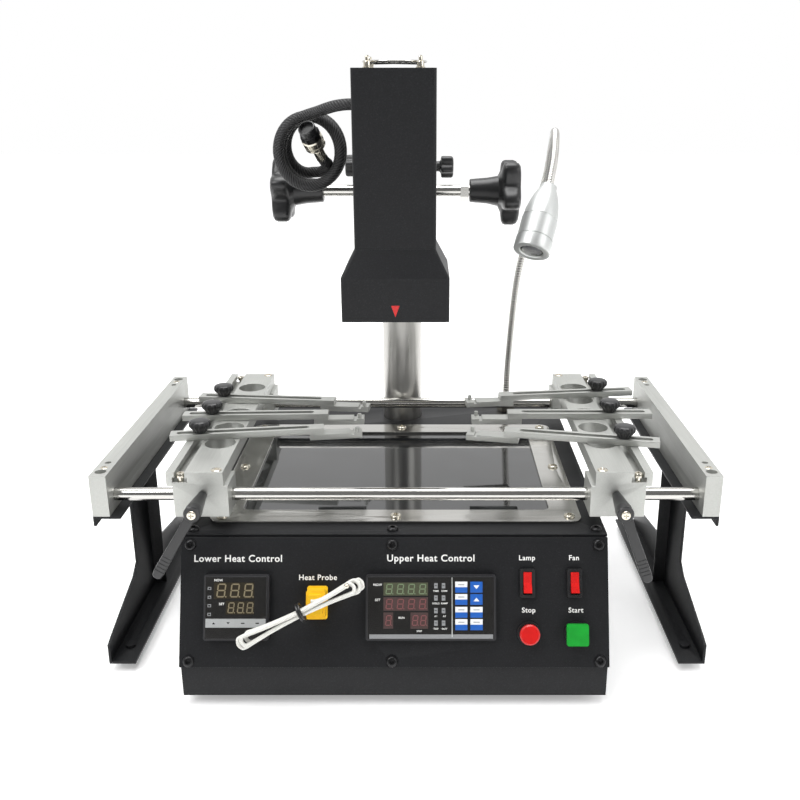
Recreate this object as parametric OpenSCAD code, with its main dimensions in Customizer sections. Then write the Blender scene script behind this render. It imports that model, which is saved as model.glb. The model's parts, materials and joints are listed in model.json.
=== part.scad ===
// Infrared rework station: heated base, lifting head on a column, free-standing board fixture.
// All sizes in millimetres. X = 0 is the fixture centre, Y = 0 mid depth, Z = 0 the table.

/* [Base] */
// width of the heated base
base_w = 318; // [280:1:360]
// depth of the heated base
base_d = 340; // [320:1:380]
// height of the deck above the table
deck_z = 124; // [110:1:140]
// base centre to the left of the fixture centre
base_off = 8.5; // [0:0.5:12]
// height of the rubber feet
foot_h = 9; // [6:1:14]
// height of the upright lip below the panel
lip_h = 24.7; // [18:0.1:32]
// how far the sloping panel leans back
panel_back = 39; // [30:1:50]
// sheet thickness
sheet = 2; // [1.5:0.5:3]

/* [Heater window] */
// gap on each side of the steel frame
frame_side = 15.7; // [12:0.1:24]
// gap in front of and behind the steel frame
frame_gap = 17.7; // [14:0.1:24]
// width of the frame bars
frame_bar = 21; // [16:0.5:26]
// glass thickness
glass_t = 4; // [3:0.5:6]

/* [Column and head] */
// diameter of the column
column_dia = 38; // [34:1:42]
// top of the column
column_top = 440; // [400:1:446]
// column axis in front of the base rear
column_back = 30; // [28:1:34]
// head box width
head_w = 62.5; // [56:0.5:66]
// skirt width of the hood
skirt_w = 83; // [76:0.5:92]
// head axis in front of the column axis
head_reach = 158.5; // [156:0.5:162]
// underside of the hood
hood_z = 269; // [262:1:290]
// top of the head box
head_top = 454; // [446:1:470]
// lift knob diameter
knob_dia = 60; // [52:1:64]
// height of the lift shaft
shaft_z = 354; // [350:1:358]
// length of the lift shaft from knob to knob
shaft_span = 217; // [200:1:226]

/* [Fixture] */
// width over the side rails
fixture_w = 472; // [460:1:490]
// length of the side rails
rail_len = 252; // [244:2:260]
// height of a side rail
rail_h = 33; // [30:1:36]
// thickness of a side rail
rail_t = 13; // [11:0.5:15]
// underside of the rails
rail_z = 134; // [132:1:137]
// guide rod diameter
rod_dia = 10; // [8:1:12]
// half the distance between the guide rods
rod_half = 109; // [106:1:111]
// carriage centre in from the outer face of its rail
carriage_in = 80; // [76:1:84]
// how far both carriages stand to the right of their middle place
carriage_off = 2.6; // [-5:0.2:5]

/* [Board arms] */
// length of the slotted bar
arm_len = 124; // [110:1:130]
// length of the jaw
jaw_len = 31; // [24:1:34]
// width of the bar
arm_w = 12; // [10:1:13]
// thickness of the bar
arm_t = 5; // [4:0.5:6]
// turn of the left arms, front to rear
left_turn = [8, 2, -5.4]; // [-14:0.2:14]
// turn of the right arms, front to rear
right_turn = [-11.8, 0, 7.4]; // [-14:0.2:14]
// place of the left screws behind the fixture middle
left_at = [-54, -7.5, 41]; // [-80:0.5:70]
// place of the right screws behind the fixture middle
right_at = [-66.5, -3, 57]; // [-80:0.5:70]
// overhang of the left bars beyond the screw
left_tail = [24, 25, 22]; // [20:1:38]
// overhang of the right bars beyond the screw
right_tail = [28, 36, 32]; // [20:1:38]

/* [Controls] */
// stroke of the two push buttons
press_travel = 3; // [2:0.5:3]
// tilt of the rocker switches
rocker_tilt = 8; // [5:1:10]
// lower controller, as shares of the panel's width and length
low_share = [-0.366, 0.462]; // [-0.5:0.001:1]
// upper controller
up_share = [0.085, 0.462]; // [-0.5:0.001:1]
// probe socket
socket_share = [-0.179, 0.498]; // [-0.5:0.001:1]
// light switch
light_share = [0.31, 0.645]; // [-0.5:0.001:1]
// fan switch
fan_share = [0.42, 0.645]; // [-0.5:0.001:1]
// stop button
stop_share = [0.313, 0.261]; // [-0.5:0.001:1]
// start button
start_share = [0.423, 0.261]; // [-0.5:0.001:1]

/* [Hidden] */
$fn = 48;
eps = 0.01;
// clearance round parts that slide or turn on each other
run_gap = 0.3;
// radial clearance of a turning shaft
shaft_gap = 0.06;
gland_out = 12;
front_y = -(base_d + gland_out) / 2;
base_x = -base_off;
lip_y = sheet;
lip_z = foot_h + lip_h;
shelf_z = deck_z - sheet;
panel_tilt = atan((panel_back - lip_y) / (shelf_z - lip_z));
panel_len = norm([panel_back - lip_y, shelf_z - lip_z]);
function on_share(share) = [share[0] * base_w, share[1] * panel_len];
low_ctrl = on_share(low_share);
up_ctrl = on_share(up_share);
socket_at = on_share(socket_share);
light_at = on_share(light_share);
fan_at = on_share(fan_share);
stop_at = on_share(stop_share);
start_at = on_share(start_share);
column_y = base_d - column_back;
head_y = column_y - head_reach;
black = [0.13, 0.13, 0.14];
steel = [0.78, 0.79, 0.8];
nickel = [0.7, 0.71, 0.72];
alloy = [0.6, 0.61, 0.63];
rubber = [0.07, 0.07, 0.07];

// window sizes that follow from the base and the column
frame_w = base_w - 2 * frame_side;
frame_d = column_y - column_dia / 2 - panel_back - 2 * frame_gap;
window_y = panel_back + frame_gap + frame_d / 2;
open_w = frame_w - 2 * frame_bar - 4;
open_d = frame_d - 2 * frame_bar;
glass_lap = 5;
glass_w = open_w + 2 * glass_lap;
glass_d = open_d + 2 * glass_lap;
fit_gap = 0.5;
tray_h = 44;
tray_wall = 6;
tray_floor = 4;
lower_heater_n = 3;
screw_r = 4.25;
shank_r = 1.75;
shank_gap = 0.1;
panel_screw_x = [-base_w / 2 + 7, -1.8, base_w / 2 - 7];
panel_screw_s = [4.5, panel_len - 6];
deck_screw_x = [-base_w / 2 + 7, -1.8, base_w / 2 - 7];
deck_screw_y = panel_back + 8;
frame_screw_x = frame_w / 2 - 9;
frame_screw_y = frame_d / 2 - 9;
frame_screws = [for (x = [-1, 0, 1], y = [-1, 0, 1])
  if (x != 0 || y != 0) [x * frame_screw_x, y * frame_screw_y]];

// place a child in base coordinates, measured from the middle of its front edge
module in_base() {
  translate([base_x, front_y, 0])
    children();
}

// place a child on the sloping panel: across, up the slope, and out of the panel
module on_panel(at, out = sheet) {
  in_base()
    translate([0, lip_y, lip_z])
      rotate([90 - panel_tilt, 0, 0])
        translate([at[0], at[1], out])
          children();
}

// a flat plate with round corners, standing on Z = 0
module plate(w, d, h, r = 2) {
  linear_extrude(h)
    offset(r)
      square([w - 2 * r, d - 2 * r], center = true);
}

// a plain block with its corner edges rounded exactly
module round_block(w, d, h, r) {
  translate([-w / 2, -d / 2 + r, 0])
    cube([w, d - 2 * r, h]);
  translate([-w / 2 + r, -d / 2, 0])
    cube([w - 2 * r, d, h]);
  for (x = [-1, 1], y = [-1, 1])
    translate([x * (w / 2 - r), y * (d / 2 - r), 0])
      cylinder(h = h, r = r, $fn = 32);
}

// turn a child that stands on Z so that it runs from p towards q
module aim(p, q) {
  d = q - p;
  translate(p)
    rotate([0, acos(d[2] / norm(d)), atan2(d[1], d[0])])
      children();
}

// side view of the base swept across its width
module base_profile(points, w) {
  translate([-w / 2, 0, 0])
    rotate([90, 0, 90])
      linear_extrude(w)
        polygon(points);
}

module base_tub() {
  flange = 12;
  vent_n = 9;
  vent_pitch = 14;
  color(black)
    difference() {
      union() {
        in_base()
          difference() {
            base_profile([[lip_y, foot_h], [lip_y, lip_z], [panel_back, shelf_z],
              [base_d, shelf_z], [base_d, foot_h]], base_w - sheet);
            base_profile([[lip_y + sheet, foot_h + sheet], [lip_y + sheet, deck_z + sheet],
              [base_d - sheet, deck_z + sheet], [base_d - sheet, foot_h + sheet]],
              base_w - 3 * sheet);
          }
        for (x = [-1, 1])
          on_panel([x * (base_w / 2 - sheet - flange / 2), panel_len / 2], -sheet - shank_gap)
            translate([-flange / 2, -panel_len / 2 + flange / 2, 0])
              cube([flange, panel_len - flange, sheet]);
      }
      in_base() {
        for (i = [0 : vent_n - 1])
          translate([(i - (vent_n - 1) / 2) * vent_pitch, base_d - 2 * sheet, 44])
            cube([4, 3 * sheet, 44]);
        translate([gland_x, base_d - 2 * sheet, gland_z])
          rotate([-90, 0, 0])
            cylinder(h = 3 * sheet, r = gland_neck_r + shank_gap);
      }
    }
}

// standard cut-outs of the two panel meters
cut_short = 45;
cut_long = 92;

module front_panel() {
  color(black)
    difference() {
      on_panel([0, panel_len / 2], 0)
        plate(base_w, panel_len, sheet, 1);
      on_panel(low_ctrl, -eps)
        cube_hole(cut_short, cut_short);
      on_panel(up_ctrl, -eps)
        cube_hole(cut_long, cut_short);
      on_panel(socket_at, -eps)
        cube_hole(socket_w - 2, socket_h - 2);
      for (at = [light_at, fan_at])
        on_panel(at, -eps)
          cube_hole(rocker_w + 2, rocker_l + 2);
      for (at = [stop_at, start_at])
        on_panel(at, -eps)
          cylinder(h = sheet + 2 * eps, r = barrel_r + shank_gap);
      for (x = panel_screw_x, s = panel_screw_s)
        on_panel([x, s], -eps)
          cylinder(h = sheet + 2 * eps, r = shank_r + shank_gap, $fn = 24);
    }
}

// a square cut through the panel
module cube_hole(w, h) {
  translate([-w / 2, -h / 2, 0])
    cube([w, h, sheet + 2 * eps]);
}

module top_deck() {
  color(black)
    in_base()
      difference() {
        translate([-base_w / 2, panel_back, shelf_z])
          cube([base_w, base_d - panel_back, sheet]);
        translate([0, window_y, shelf_z - eps])
          round_block(glass_w + 2 * fit_gap, glass_d + 2 * fit_gap, sheet + 2 * eps, 4);
        translate([0, column_y, shelf_z - eps])
          cylinder(h = sheet + 2 * eps, r = column_dia / 2 + run_gap, $fn = 64);
        for (x = deck_screw_x)
          translate([x, deck_screw_y, shelf_z - eps])
            cylinder(h = sheet + 2 * eps, r = shank_r + shank_gap, $fn = 24);
      }
}

module heater_frame() {
  color(steel)
    in_base()
      translate([0, window_y, deck_z])
        difference() {
          round_block(frame_w, frame_d, sheet, 9);
          translate([0, 0, -eps])
            round_block(open_w, open_d, sheet + 2 * eps, 5);
          for (at = frame_screws)
            translate([at[0], at[1], -eps])
              cylinder(h = sheet + 2 * eps, r = shank_r + shank_gap, $fn = 24);
        }
}

module heater_glass() {
  color([0.05, 0.05, 0.06])
    in_base()
      translate([0, window_y, deck_z - glass_t])
        round_block(glass_w, glass_d, glass_t, 3.5);
}

// insulating tray under the glass with a row of ceramic elements standing in it
module lower_heater() {
  pitch = open_d / lower_heater_n;
  color([0.72, 0.7, 0.66])
    in_base()
      translate([0, window_y, shelf_z - tray_h])
        difference() {
          round_block(glass_w + 2 * tray_wall, glass_d + 2 * tray_wall, tray_h, 6);
          translate([0, 0, tray_floor])
            round_block(open_w, open_d, tray_h, 4);
          translate([0, 0, tray_h - (glass_t - sheet)])
            round_block(glass_w + 2 * fit_gap, glass_d + 2 * fit_gap, glass_t, 4);
        }
  color([0.85, 0.83, 0.78])
    for (i = [0 : lower_heater_n - 1])
      in_base()
        translate([0, window_y + (i - (lower_heater_n - 1) / 2) * pitch, shelf_z - tray_h + tray_floor]) {
          for (x = [-1, 1])
            translate([x * open_w / 4, 0, 0])
              cylinder(h = 14, r = 8);
          translate([0, 0, 12])
            round_block(open_w - 6, pitch - 5, 12, 5);
        }
}

module base_feet() {
  inset = 26;
  color(rubber)
    for (x = [-1, 1], y = [inset, base_d - inset])
      in_base()
        translate([x * (base_w / 2 - inset), y, 0])
          cylinder(h = foot_h, r1 = 10, r2 = 12);
}

// one screw head on a face, its shank in the sheet below
module sheet_screw(h = 2.4) {
  translate([0, 0, -sheet + 0.2])
    cylinder(h = sheet, r = shank_r, $fn = 24);
  cylinder(h = h * 0.5, r = screw_r, $fn = 24);
  translate([0, 0, h * 0.5])
    cylinder(h = h * 0.5, r1 = screw_r, r2 = screw_r * 0.72, $fn = 24);
}

module base_screws() {
  color(rubber) {
    for (x = panel_screw_x, s = panel_screw_s)
      on_panel([x, s])
        sheet_screw();
    for (x = deck_screw_x)
      in_base()
        translate([x, deck_screw_y, deck_z])
          sheet_screw();
  }
  color(steel)
    for (at = frame_screws)
      in_base()
        translate([at[0], window_y + at[1], deck_z + sheet])
          sheet_screw(1.8);
}

// control sizes
ctrl_size = 48;
ctrl_out = 6;
ctrl_deep = 32;
socket_w = 15;
socket_h = 24;
rocker_w = 6;
rocker_l = 16;
rocker_out = 2.2;
bezel_rim = 2.6;
bezel_out = 3;
barrel_r = 6.6;
collar_out = 2.5;
button_out = 6;
gland_x = 95;
gland_z = 40;
gland_neck_r = 7;
gland_bore_r = 4;

// a DIN panel meter: bezel in front, case behind, sunk window and key strip
module panel_meter(w, h) {
  rim = 3;
  strip = 9;
  difference() {
    union() {
      round_block(w, h, ctrl_out - 1, 2);
      round_block(w - 2, h - 2, ctrl_out, 2);
      translate([-(w - 4) / 2, -(h - 4) / 2, -ctrl_deep])
        cube([w - 4, h - 4, ctrl_deep + 1]);
    }
    translate([-w / 2 + rim, -h / 2 + rim + strip, ctrl_out - 1.2])
      cube([w - 2 * rim, h - 2 * rim - strip, 2]);
    translate([-w / 2 + rim, -h / 2 + rim, ctrl_out - 0.5])
      cube([w - 2 * rim, strip - 1.5, 2]);
  }
}

module lower_controller() {
  color([0.16, 0.16, 0.17])
    on_panel(low_ctrl)
      panel_meter(ctrl_size, ctrl_size);
}

module upper_controller() {
  color([0.16, 0.16, 0.17])
    on_panel(up_ctrl)
      panel_meter(2 * ctrl_size, ctrl_size);
}

module sensor_socket() {
  color([0.9, 0.75, 0.1])
    on_panel(socket_at)
      difference() {
        union() {
          round_block(socket_w, socket_h, socket_out, 1.5);
          translate([-(socket_w - 3) / 2, -(socket_h - 3) / 2, -12])
            cube([socket_w - 3, socket_h - 3, 13]);
        }
        for (s = [-1, 1])
          translate([-blade_t / 2 - shank_gap, s * blade_pitch - blade_w / 2 - shank_gap, -9])
            cube([blade_t + 2 * shank_gap, blade_w + 2 * shank_gap, 20]);
      }
}
socket_out = 3;
plug_len = 15;
blade_pitch = 4;
blade_w = 3;
blade_t = 0.8;

module sensor_plug() {
  blade_len = 10;
  color([0.92, 0.78, 0.12])
    on_panel(socket_at, sheet + socket_out) {
      round_block(socket_w - 1, socket_h - 3, plug_len * 0.7, 2);
      translate([0, 0, plug_len * 0.7 - eps])
        round_block(socket_w - 4, socket_h - 9, plug_len * 0.3 + eps, 2);
      for (s = [-1, 1])
        translate([-blade_t / 2, s * blade_pitch - blade_w / 2, -blade_len])
          cube([blade_t, blade_w, blade_len + 1]);
    }
}

// black surrounds of the two rockers and collars of the two push buttons
module panel_bezels() {
  color(rubber) {
    for (at = [light_at, fan_at])
      on_panel(at)
        difference() {
          union() {
            round_block(rocker_w + 2 * bezel_rim, rocker_l + 2 * bezel_rim, bezel_out, 1.5);
            translate([-rocker_w / 2 - 0.9, -rocker_l / 2 - 0.9, -12])
              cube([rocker_w + 1.8, rocker_l + 1.8, 13]);
          }
          translate([-rocker_w / 2 - run_gap, -rocker_l / 2 - run_gap, -10])
            cube([rocker_w + 2 * run_gap, rocker_l + 2 * run_gap, 20]);
          translate([-rocker_w / 2 - 0.9 - eps, 0, 0])
            rotate([0, 90, 0])
              cylinder(h = rocker_w + 1.8 + 2 * eps, r = rocker_pin_r + shaft_gap, $fn = 32);
        }
    on_panel(stop_at)
      button_collar(8.6);
    on_panel(start_at)
      button_collar(8.6);
  }
}
rocker_pin_r = 0.8;
stem_r = 5;

// a round collar with a barrel through the panel and a guide bore
module button_collar(r) {
  difference() {
    union() {
      cylinder(h = collar_out, r = r);
      translate([0, 0, -14])
        cylinder(h = 15, r = barrel_r);
    }
    translate([0, 0, -14 - eps])
      cylinder(h = 20, r = stem_r + shaft_gap);
  }
}

module rocker(at) {
  on_panel(at)
    rotate([-rocker_tilt, 0, 0]) {
      rotate([90, 0, 90])
        translate([0, 0, -rocker_w / 2])
          linear_extrude(rocker_w)
            polygon([[-rocker_l / 2 + 1, -3], [-rocker_l / 2 + 0.4, bezel_out + rocker_out],
              [0, bezel_out + 0.6], [rocker_l / 2 - 0.4, bezel_out + rocker_out],
              [rocker_l / 2 - 1, -3]]);
      translate([-rocker_w / 2 - 0.8, 0, 0])
        rotate([0, 90, 0])
          cylinder(h = rocker_w + 1.6, r = rocker_pin_r, $fn = 32);
    }
}

module light_rocker() {
  color([0.8, 0.08, 0.08])
    rocker(light_at);
}

module fan_rocker() {
  color([0.8, 0.08, 0.08])
    rocker(fan_at);
}

module stop_button() {
  color([0.8, 0.1, 0.09])
    on_panel(stop_at) {
      translate([0, 0, -10])
        cylinder(h = 12 + collar_out + press_travel, r = stem_r);
      translate([0, 0, collar_out + press_travel + run_gap])
        cylinder(h = 2.4, r = 7.4);
      translate([0, 0, collar_out + press_travel + run_gap + 2.4])
        cylinder(h = 0.8, r1 = 7.4, r2 = 6.4);
    }
}

module start_button() {
  color([0.1, 0.6, 0.2])
    on_panel(start_at) {
      translate([0, 0, -10])
        cylinder(h = 12 + collar_out + press_travel, r = stem_r);
      translate([0, 0, collar_out + press_travel + run_gap])
        round_block(16, 16, 3, 1.5);
    }
}

module cable_gland() {
  color(rubber)
    in_base()
      translate([gland_x, base_d, gland_z])
        rotate([-90, 0, 0])
          difference() {
            union() {
              translate([0, 0, -8])
                cylinder(h = 9, r = gland_neck_r);
              cylinder(h = gland_out * 0.55, r = 11, $fn = 6);
              cylinder(h = gland_out, r = 8.5);
            }
            translate([0, 0, -8 - eps])
              cylinder(h = 8 + gland_out + 2 * eps, r = gland_bore_r);
          }
}

module column() {
  color(steel)
    in_base()
      translate([0, column_y, foot_h + sheet + socket_plate])
        difference() {
          cylinder(h = column_top - foot_h - sheet - socket_plate, r = column_dia / 2, $fn = 64);
          translate([0, 0, -eps])
            cylinder(h = column_top - 30, r = column_dia / 2 - 2.5, $fn = 64);
        }
}
socket_plate = 6;
socket_len = 70;
foot_plate = [72, 52];

module column_socket() {
  wall = 5;
  color(alloy)
    in_base()
      translate([0, column_y, foot_h + sheet])
        difference() {
          union() {
            translate([-foot_plate[0] / 2, -foot_plate[1] / 2, 0])
              cube([foot_plate[0], foot_plate[1], socket_plate]);
            cylinder(h = socket_len, r = column_dia / 2 + wall);
          }
          translate([0, 0, socket_plate])
            cylinder(h = socket_len, r = column_dia / 2 + shaft_gap, $fn = 64);
        }
}

// probe lead, folded into a tied hank that lies against its plug
hank_len = 109;
hank_w = 13;
hank_t = 8;
hank_turn = 26;
hank_at = socket_at + [-9.5, -4.7];

module sensor_hank() {
  color([0.92, 0.92, 0.88])
    on_panel(hank_at, sheet + socket_out + plug_len)
      rotate([0, 0, hank_turn]) {
        translate([-hank_len / 2 + hank_w / 2, -hank_w / 2, 0])
          cube([hank_len - hank_w, hank_w, hank_t]);
        for (x = [-1, 1])
          translate([x * (hank_len - hank_w) / 2, 0, 0])
            cylinder(h = hank_t, r = hank_w / 2);
      }
}

// curve through hand-chosen points, and a round tube along it
function catmull(a, b, c, d, t) =
  0.5 * (2 * b + (c - a) * t + (2 * a - 5 * b + 4 * c - d) * t * t
    + (3 * b - a - 3 * c + d) * t * t * t);
function path(pts, steps) = let (n = len(pts)) concat(
  [for (i = [0 : n - 2], k = [0 : steps - 1])
    catmull(pts[max(i - 1, 0)], pts[i], pts[i + 1], pts[min(i + 2, n - 1)], k / steps)],
  [pts[n - 1]]);
function unit(v) = v / norm(v);
function tangent(p, i) = unit(p[min(i + 1, len(p) - 1)] - p[max(i - 1, 0)]);

module tube(p, r, ref, sides = 10) {
  n = len(p);
  rings = [for (i = [0 : n - 1])
    let (t = tangent(p, i), u = unit(cross(t, ref)), v = cross(t, u))
    for (k = [0 : sides - 1])
      p[i] + r * (cos(360 * k / sides) * u + sin(360 * k / sides) * v)];
  sides_faces = [for (i = [0 : n - 2], k = [0 : sides - 1])
    let (m = (k + 1) % sides)
    for (f = [[i * sides + k, (i + 1) * sides + k, (i + 1) * sides + m],
      [i * sides + k, (i + 1) * sides + m, i * sides + m]]) f];
  start = [for (k = [0 : sides - 1]) k];
  end = [for (k = [0 : sides - 1]) (n - 1) * sides + sides - 1 - k];
  polyhedron(rings, concat(sides_faces, [start], [end]));
}

// lamp: where its lens looks from, where its body ends, and the neck between
lamp_r = 14;
neck_foot = [base_w / 2 - 53, column_y + 12, deck_z];
neck_nut = 13;
neck_r = 3.5;
lamp_front = neck_foot + [-4, -217, 200];
lamp_back = neck_foot + [11, -187, 245];
neck_shape = [[0, 0, neck_nut], [1, -1, 56], [7, -6, 138], [18, -18, 194], [27, -37, 236],
  [28, -67, 268], [25, -102, 281], [21, -137, 278], [16.5, -167, 263]];
neck_pts = concat([for (p = neck_shape) neck_foot + p], [lamp_back]);

module lamp_gooseneck() {
  color([0.6, 0.6, 0.6])
    in_base() {
      tube(path(neck_pts, 5), neck_r, [1, 0, 0], 12);
      translate(neck_foot) {
        cylinder(h = neck_nut / 2, r = 9, $fn = 6);
        cylinder(h = neck_nut, r = 6.5);
      }
    }
}

module lamp_head() {
  len = norm(lamp_back - lamp_front);
  color(nickel)
    in_base()
      aim(lamp_front, lamp_back)
        difference() {
          union() {
            cylinder(h = 14, r = lamp_r);
            translate([0, 0, 14])
              cylinder(h = 20, r = lamp_r - 1.5);
            translate([0, 0, 34])
              cylinder(h = len - 34, r1 = lamp_r - 1.5, r2 = 7);
            for (i = [0 : 4])
              translate([0, 0, 16 + 3.6 * i])
                cylinder(h = 1.8, r = lamp_r - 0.4);
          }
          translate([0, 0, -eps])
            cylinder(h = 8, r = lamp_r - 2);
        }
}

module lamp_lens() {
  color([0.85, 0.9, 0.95])
    in_base()
      aim(lamp_front, lamp_back)
        translate([0, 0, 2])
          cylinder(h = 6 - eps, r = lamp_r - 2 - shank_gap);
}

// lifting gear behind the head, measured from the base front
bracket_w = 60;
bracket_front = column_y - 104;
bracket_z = 330;
bracket_h = 64;
rack_line = column_y - 70;
mod = 1.5;
teeth = 16;
pitch_r = mod * teeth / 2;
tooth_gap = 0.3;
shaft_y = rack_line + pitch_r;
shaft_r = 5;
shaft_off = -2.5;
slide_w = 26;
slide_neck = 18;
slide_front = bracket_front + 7.3;
slide_back = rack_line - 8;
slide_z = 306;
slide_h = 144;
rack_w = 14;
rack_top_gap = 3;
lock_y = column_y - 46;
lock_z = 374;
lock_r = 3;
hood_wall = 1.5;
skirt_h = 34;
flare_h = 20;
housing_z = hood_z + skirt_h + flare_h;
housing_rear = head_y + head_w / 2;

function inv(a) = tan(a) * 180 / PI - a;
function flank(r, base_r, half) = half + inv(20) - inv(acos(base_r / r));

// involute pinion standing on Z, one tooth on +X
module pinion(h) {
  base_r = pitch_r * cos(20);
  tip_r = pitch_r + 0.85 * mod;
  root_r = pitch_r - 1.2 * mod;
  half = 90 / teeth - tooth_gap / 2 / pitch_r * 180 / PI;
  steps = 4;
  rs = [for (i = [0 : steps]) base_r + (tip_r - base_r) * i / steps];
  one = concat([[root_r, -flank(base_r, base_r, half)]],
    [for (r = rs) [r, -flank(r, base_r, half)]],
    [for (i = [steps : -1 : 0]) [rs[i], flank(rs[i], base_r, half)]],
    [[root_r, flank(base_r, base_r, half)]]);
  linear_extrude(h)
    polygon([for (k = [0 : teeth - 1], q = one)
      q[0] * [cos(q[1] + 360 * k / teeth), sin(q[1] + 360 * k / teeth)]]);
}

module lift_shaft() {
  nut_x = 62;
  pin_w = rack_w + 2;
  color(steel)
    in_base()
      translate([0, shaft_y, shaft_z])
        rotate([0, 90, 0]) {
          translate([0, 0, -shaft_span / 2 + shaft_off + knob_lobe])
            cylinder(h = shaft_span - 2 * knob_lobe, r = shaft_r);
          translate([0, 0, -pin_w / 2])
            rotate([0, 0, -90])
              pinion(pin_w);
          translate([0, 0, nut_x - 7 - knob_clear])
            cylinder(h = 7, r = 9, $fn = 6);
        }
}
knob_lobe = 16;
knob_hub = 28;
knob_clear = 1;

// a smooth outline with n lobes, its depth as a share of the outer radius
module lobes(r, n, depth) {
  mid = r * (1 - depth);
  polygon([for (a = [0 : 60 / n : 359]) (mid + r * depth * cos(n * a)) * [cos(a), sin(a)]]);
}

// five-lobe hand knob standing on Z, hub below, lobes on top
module lobe_knob() {
  difference() {
    union() {
      cylinder(h = knob_hub + 2, r1 = 10, r2 = 12.5);
      translate([0, 0, knob_hub])
        linear_extrude(knob_lobe)
          lobes(knob_dia / 2, 5, 0.18);
    }
    translate([0, 0, -eps])
      cylinder(h = knob_hub + eps, r = shaft_r + shaft_gap);
  }
}

module knob_at(side) {
  color(black)
    in_base()
      translate([side * (shaft_span / 2 - knob_hub - knob_lobe) + shaft_off, shaft_y, shaft_z])
        rotate([0, side * 90, 0])
          lobe_knob();
}

module left_knob() {
  knob_at(-1);
}

module right_knob() {
  knob_at(1);
}

// small lobed screw in the side of the bracket
module lock_screw(side) {
  head_r = 9;
  color(black)
    in_base()
      translate([side * bracket_w / 2, lock_y, lock_z])
        rotate([0, side * 90, 0]) {
          translate([0, 0, -12])
            cylinder(h = 14, r = lock_r, $fn = 32);
          translate([0, 0, run_gap])
            cylinder(h = 6, r = 4.5, $fn = 32);
          translate([0, 0, 6])
            linear_extrude(12)
              lobes(head_r, 5, 0.14);
        }
}

module left_lock_screw() {
  lock_screw(-1);
}

module right_lock_screw() {
  lock_screw(1);
}

module swing_bracket() {
  collar_r = column_dia / 2 + 9;
  color(black)
    in_base()
      difference() {
        union() {
          translate([-bracket_w / 2, bracket_front, bracket_z])
            cube([bracket_w, column_y - bracket_front - 8, bracket_h]);
          translate([0, column_y, bracket_z])
            cylinder(h = bracket_h, r = collar_r);
        }
        translate([0, column_y, bracket_z - eps])
          cylinder(h = bracket_h + 2 * eps, r = column_dia / 2 + shaft_gap, $fn = 64);
        slot(slide_neck, bracket_front - 1, slide_front);
        slot(slide_w, slide_front - run_gap, slide_back);
        slot(rack_w, slide_back - 1, rack_line + rack_top_gap);
        translate([0, shaft_y, shaft_z])
          rotate([0, 90, 0]) {
            cylinder(h = rack_w + 4, r = pitch_r + mod + 1, center = true);
            cylinder(h = bracket_w + 2, r = shaft_r + shaft_gap, center = true);
          }
        for (side = [-1, 1])
          translate([side * bracket_w / 2, lock_y, lock_z])
            rotate([0, side * 90, 0])
              translate([0, 0, -12 - run_gap])
                cylinder(h = 14, r = lock_r + shaft_gap, $fn = 32);
      }
}

// an upright slot through the bracket with running clearance at the sides and back
module slot(w, from, to) {
  translate([-w / 2 - run_gap, from, bracket_z - 1])
    cube([w + 2 * run_gap, to - from + run_gap, bracket_h + 2]);
}

module head_slide() {
  color(alloy)
    in_base() {
      translate([-slide_neck / 2, housing_rear, housing_z + 4])
        cube([slide_neck, bracket_front - housing_rear, head_top - housing_z - 8]);
      translate([-slide_neck / 2, bracket_front - 1, slide_z])
        cube([slide_neck, slide_front - bracket_front + 2, slide_h]);
      translate([-slide_w / 2, slide_front, slide_z])
        cube([slide_w, slide_back - slide_front, slide_h]);
    }
}

module lift_rack() {
  pitch = PI * mod;
  add = 0.85 * mod;
  ded = 1.25 * mod;
  half = pitch / 4 - tooth_gap / 2;
  below = floor((shaft_z - slide_z - 4) / pitch);
  above = floor((slide_z + slide_h - 4 - shaft_z) / pitch);
  root = rack_line - ded;
  color(steel)
    in_base() {
      translate([-rack_w / 2, 0, 0])
        rotate([90, 0, 90])
          linear_extrude(rack_w)
            polygon(concat(
              [[slide_back, shaft_z + above * pitch], [slide_back, shaft_z - below * pitch],
                [root, shaft_z - below * pitch]],
              [for (k = [-below : above - 1]) let (c = shaft_z + (k + 0.5) * pitch)
                for (q = [[-1, ded], [-1, -add], [1, -add], [1, ded]])
                  [rack_line - q[1], c + q[0] * (half + q[1] * tan(20))]],
              [[root, shaft_z + above * pitch]]));
    }
}

module head_housing() {
  inner = head_w - 2 * hood_wall;
  h = head_top - housing_z;
  color(black)
    in_base()
      translate([0, head_y, housing_z])
        difference() {
          round_block(head_w, head_w, h, 2.5);
          translate([0, 0, -eps])
            round_block(inner, inner, h - hood_wall + eps, 1.5);
          cylinder(h = h + 1, r = fan_r);
          translate([-head_w / 2 - 1, cable_y - head_y, cable_z - housing_z])
            rotate([0, 90, 0])
              cylinder(h = 5, r = cable_r + shank_gap);
        }
}
fan_size = 50;
fan_h = 12;
fan_r = 23;
fan_pin_r = 2;
fan_z = head_top - hood_wall - fan_h;
cable_r = 4;
cable_y = head_y + 20.5;
cable_z = 428;

// a thin square slice, to be stretched into the flare
module slice(w, z) {
  translate([0, 0, z])
    round_block(w, w, eps, 2);
}

module heater_hood() {
  inner = skirt_w - 2 * hood_wall;
  neck = head_w - 2 * hood_wall - 0.2;
  color(black)
    in_base()
      translate([0, head_y, hood_z])
        difference() {
          union() {
            round_block(skirt_w, skirt_w, skirt_h, 2);
            hull() {
              slice(skirt_w, skirt_h - eps);
              slice(head_w, skirt_h + flare_h - eps);
            }
            round_block(neck, neck, skirt_h + flare_h + 8, 1.5);
          }
          translate([0, 0, -eps])
            round_block(inner, inner, skirt_h + eps, 1.5);
          hull() {
            slice(inner, skirt_h - eps);
            slice(neck - 2 * hood_wall, skirt_h + flare_h);
          }
          translate([0, 0, skirt_h + flare_h - 1])
            round_block(neck - 2 * hood_wall, neck - 2 * hood_wall, 20, 1);
        }
}

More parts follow.
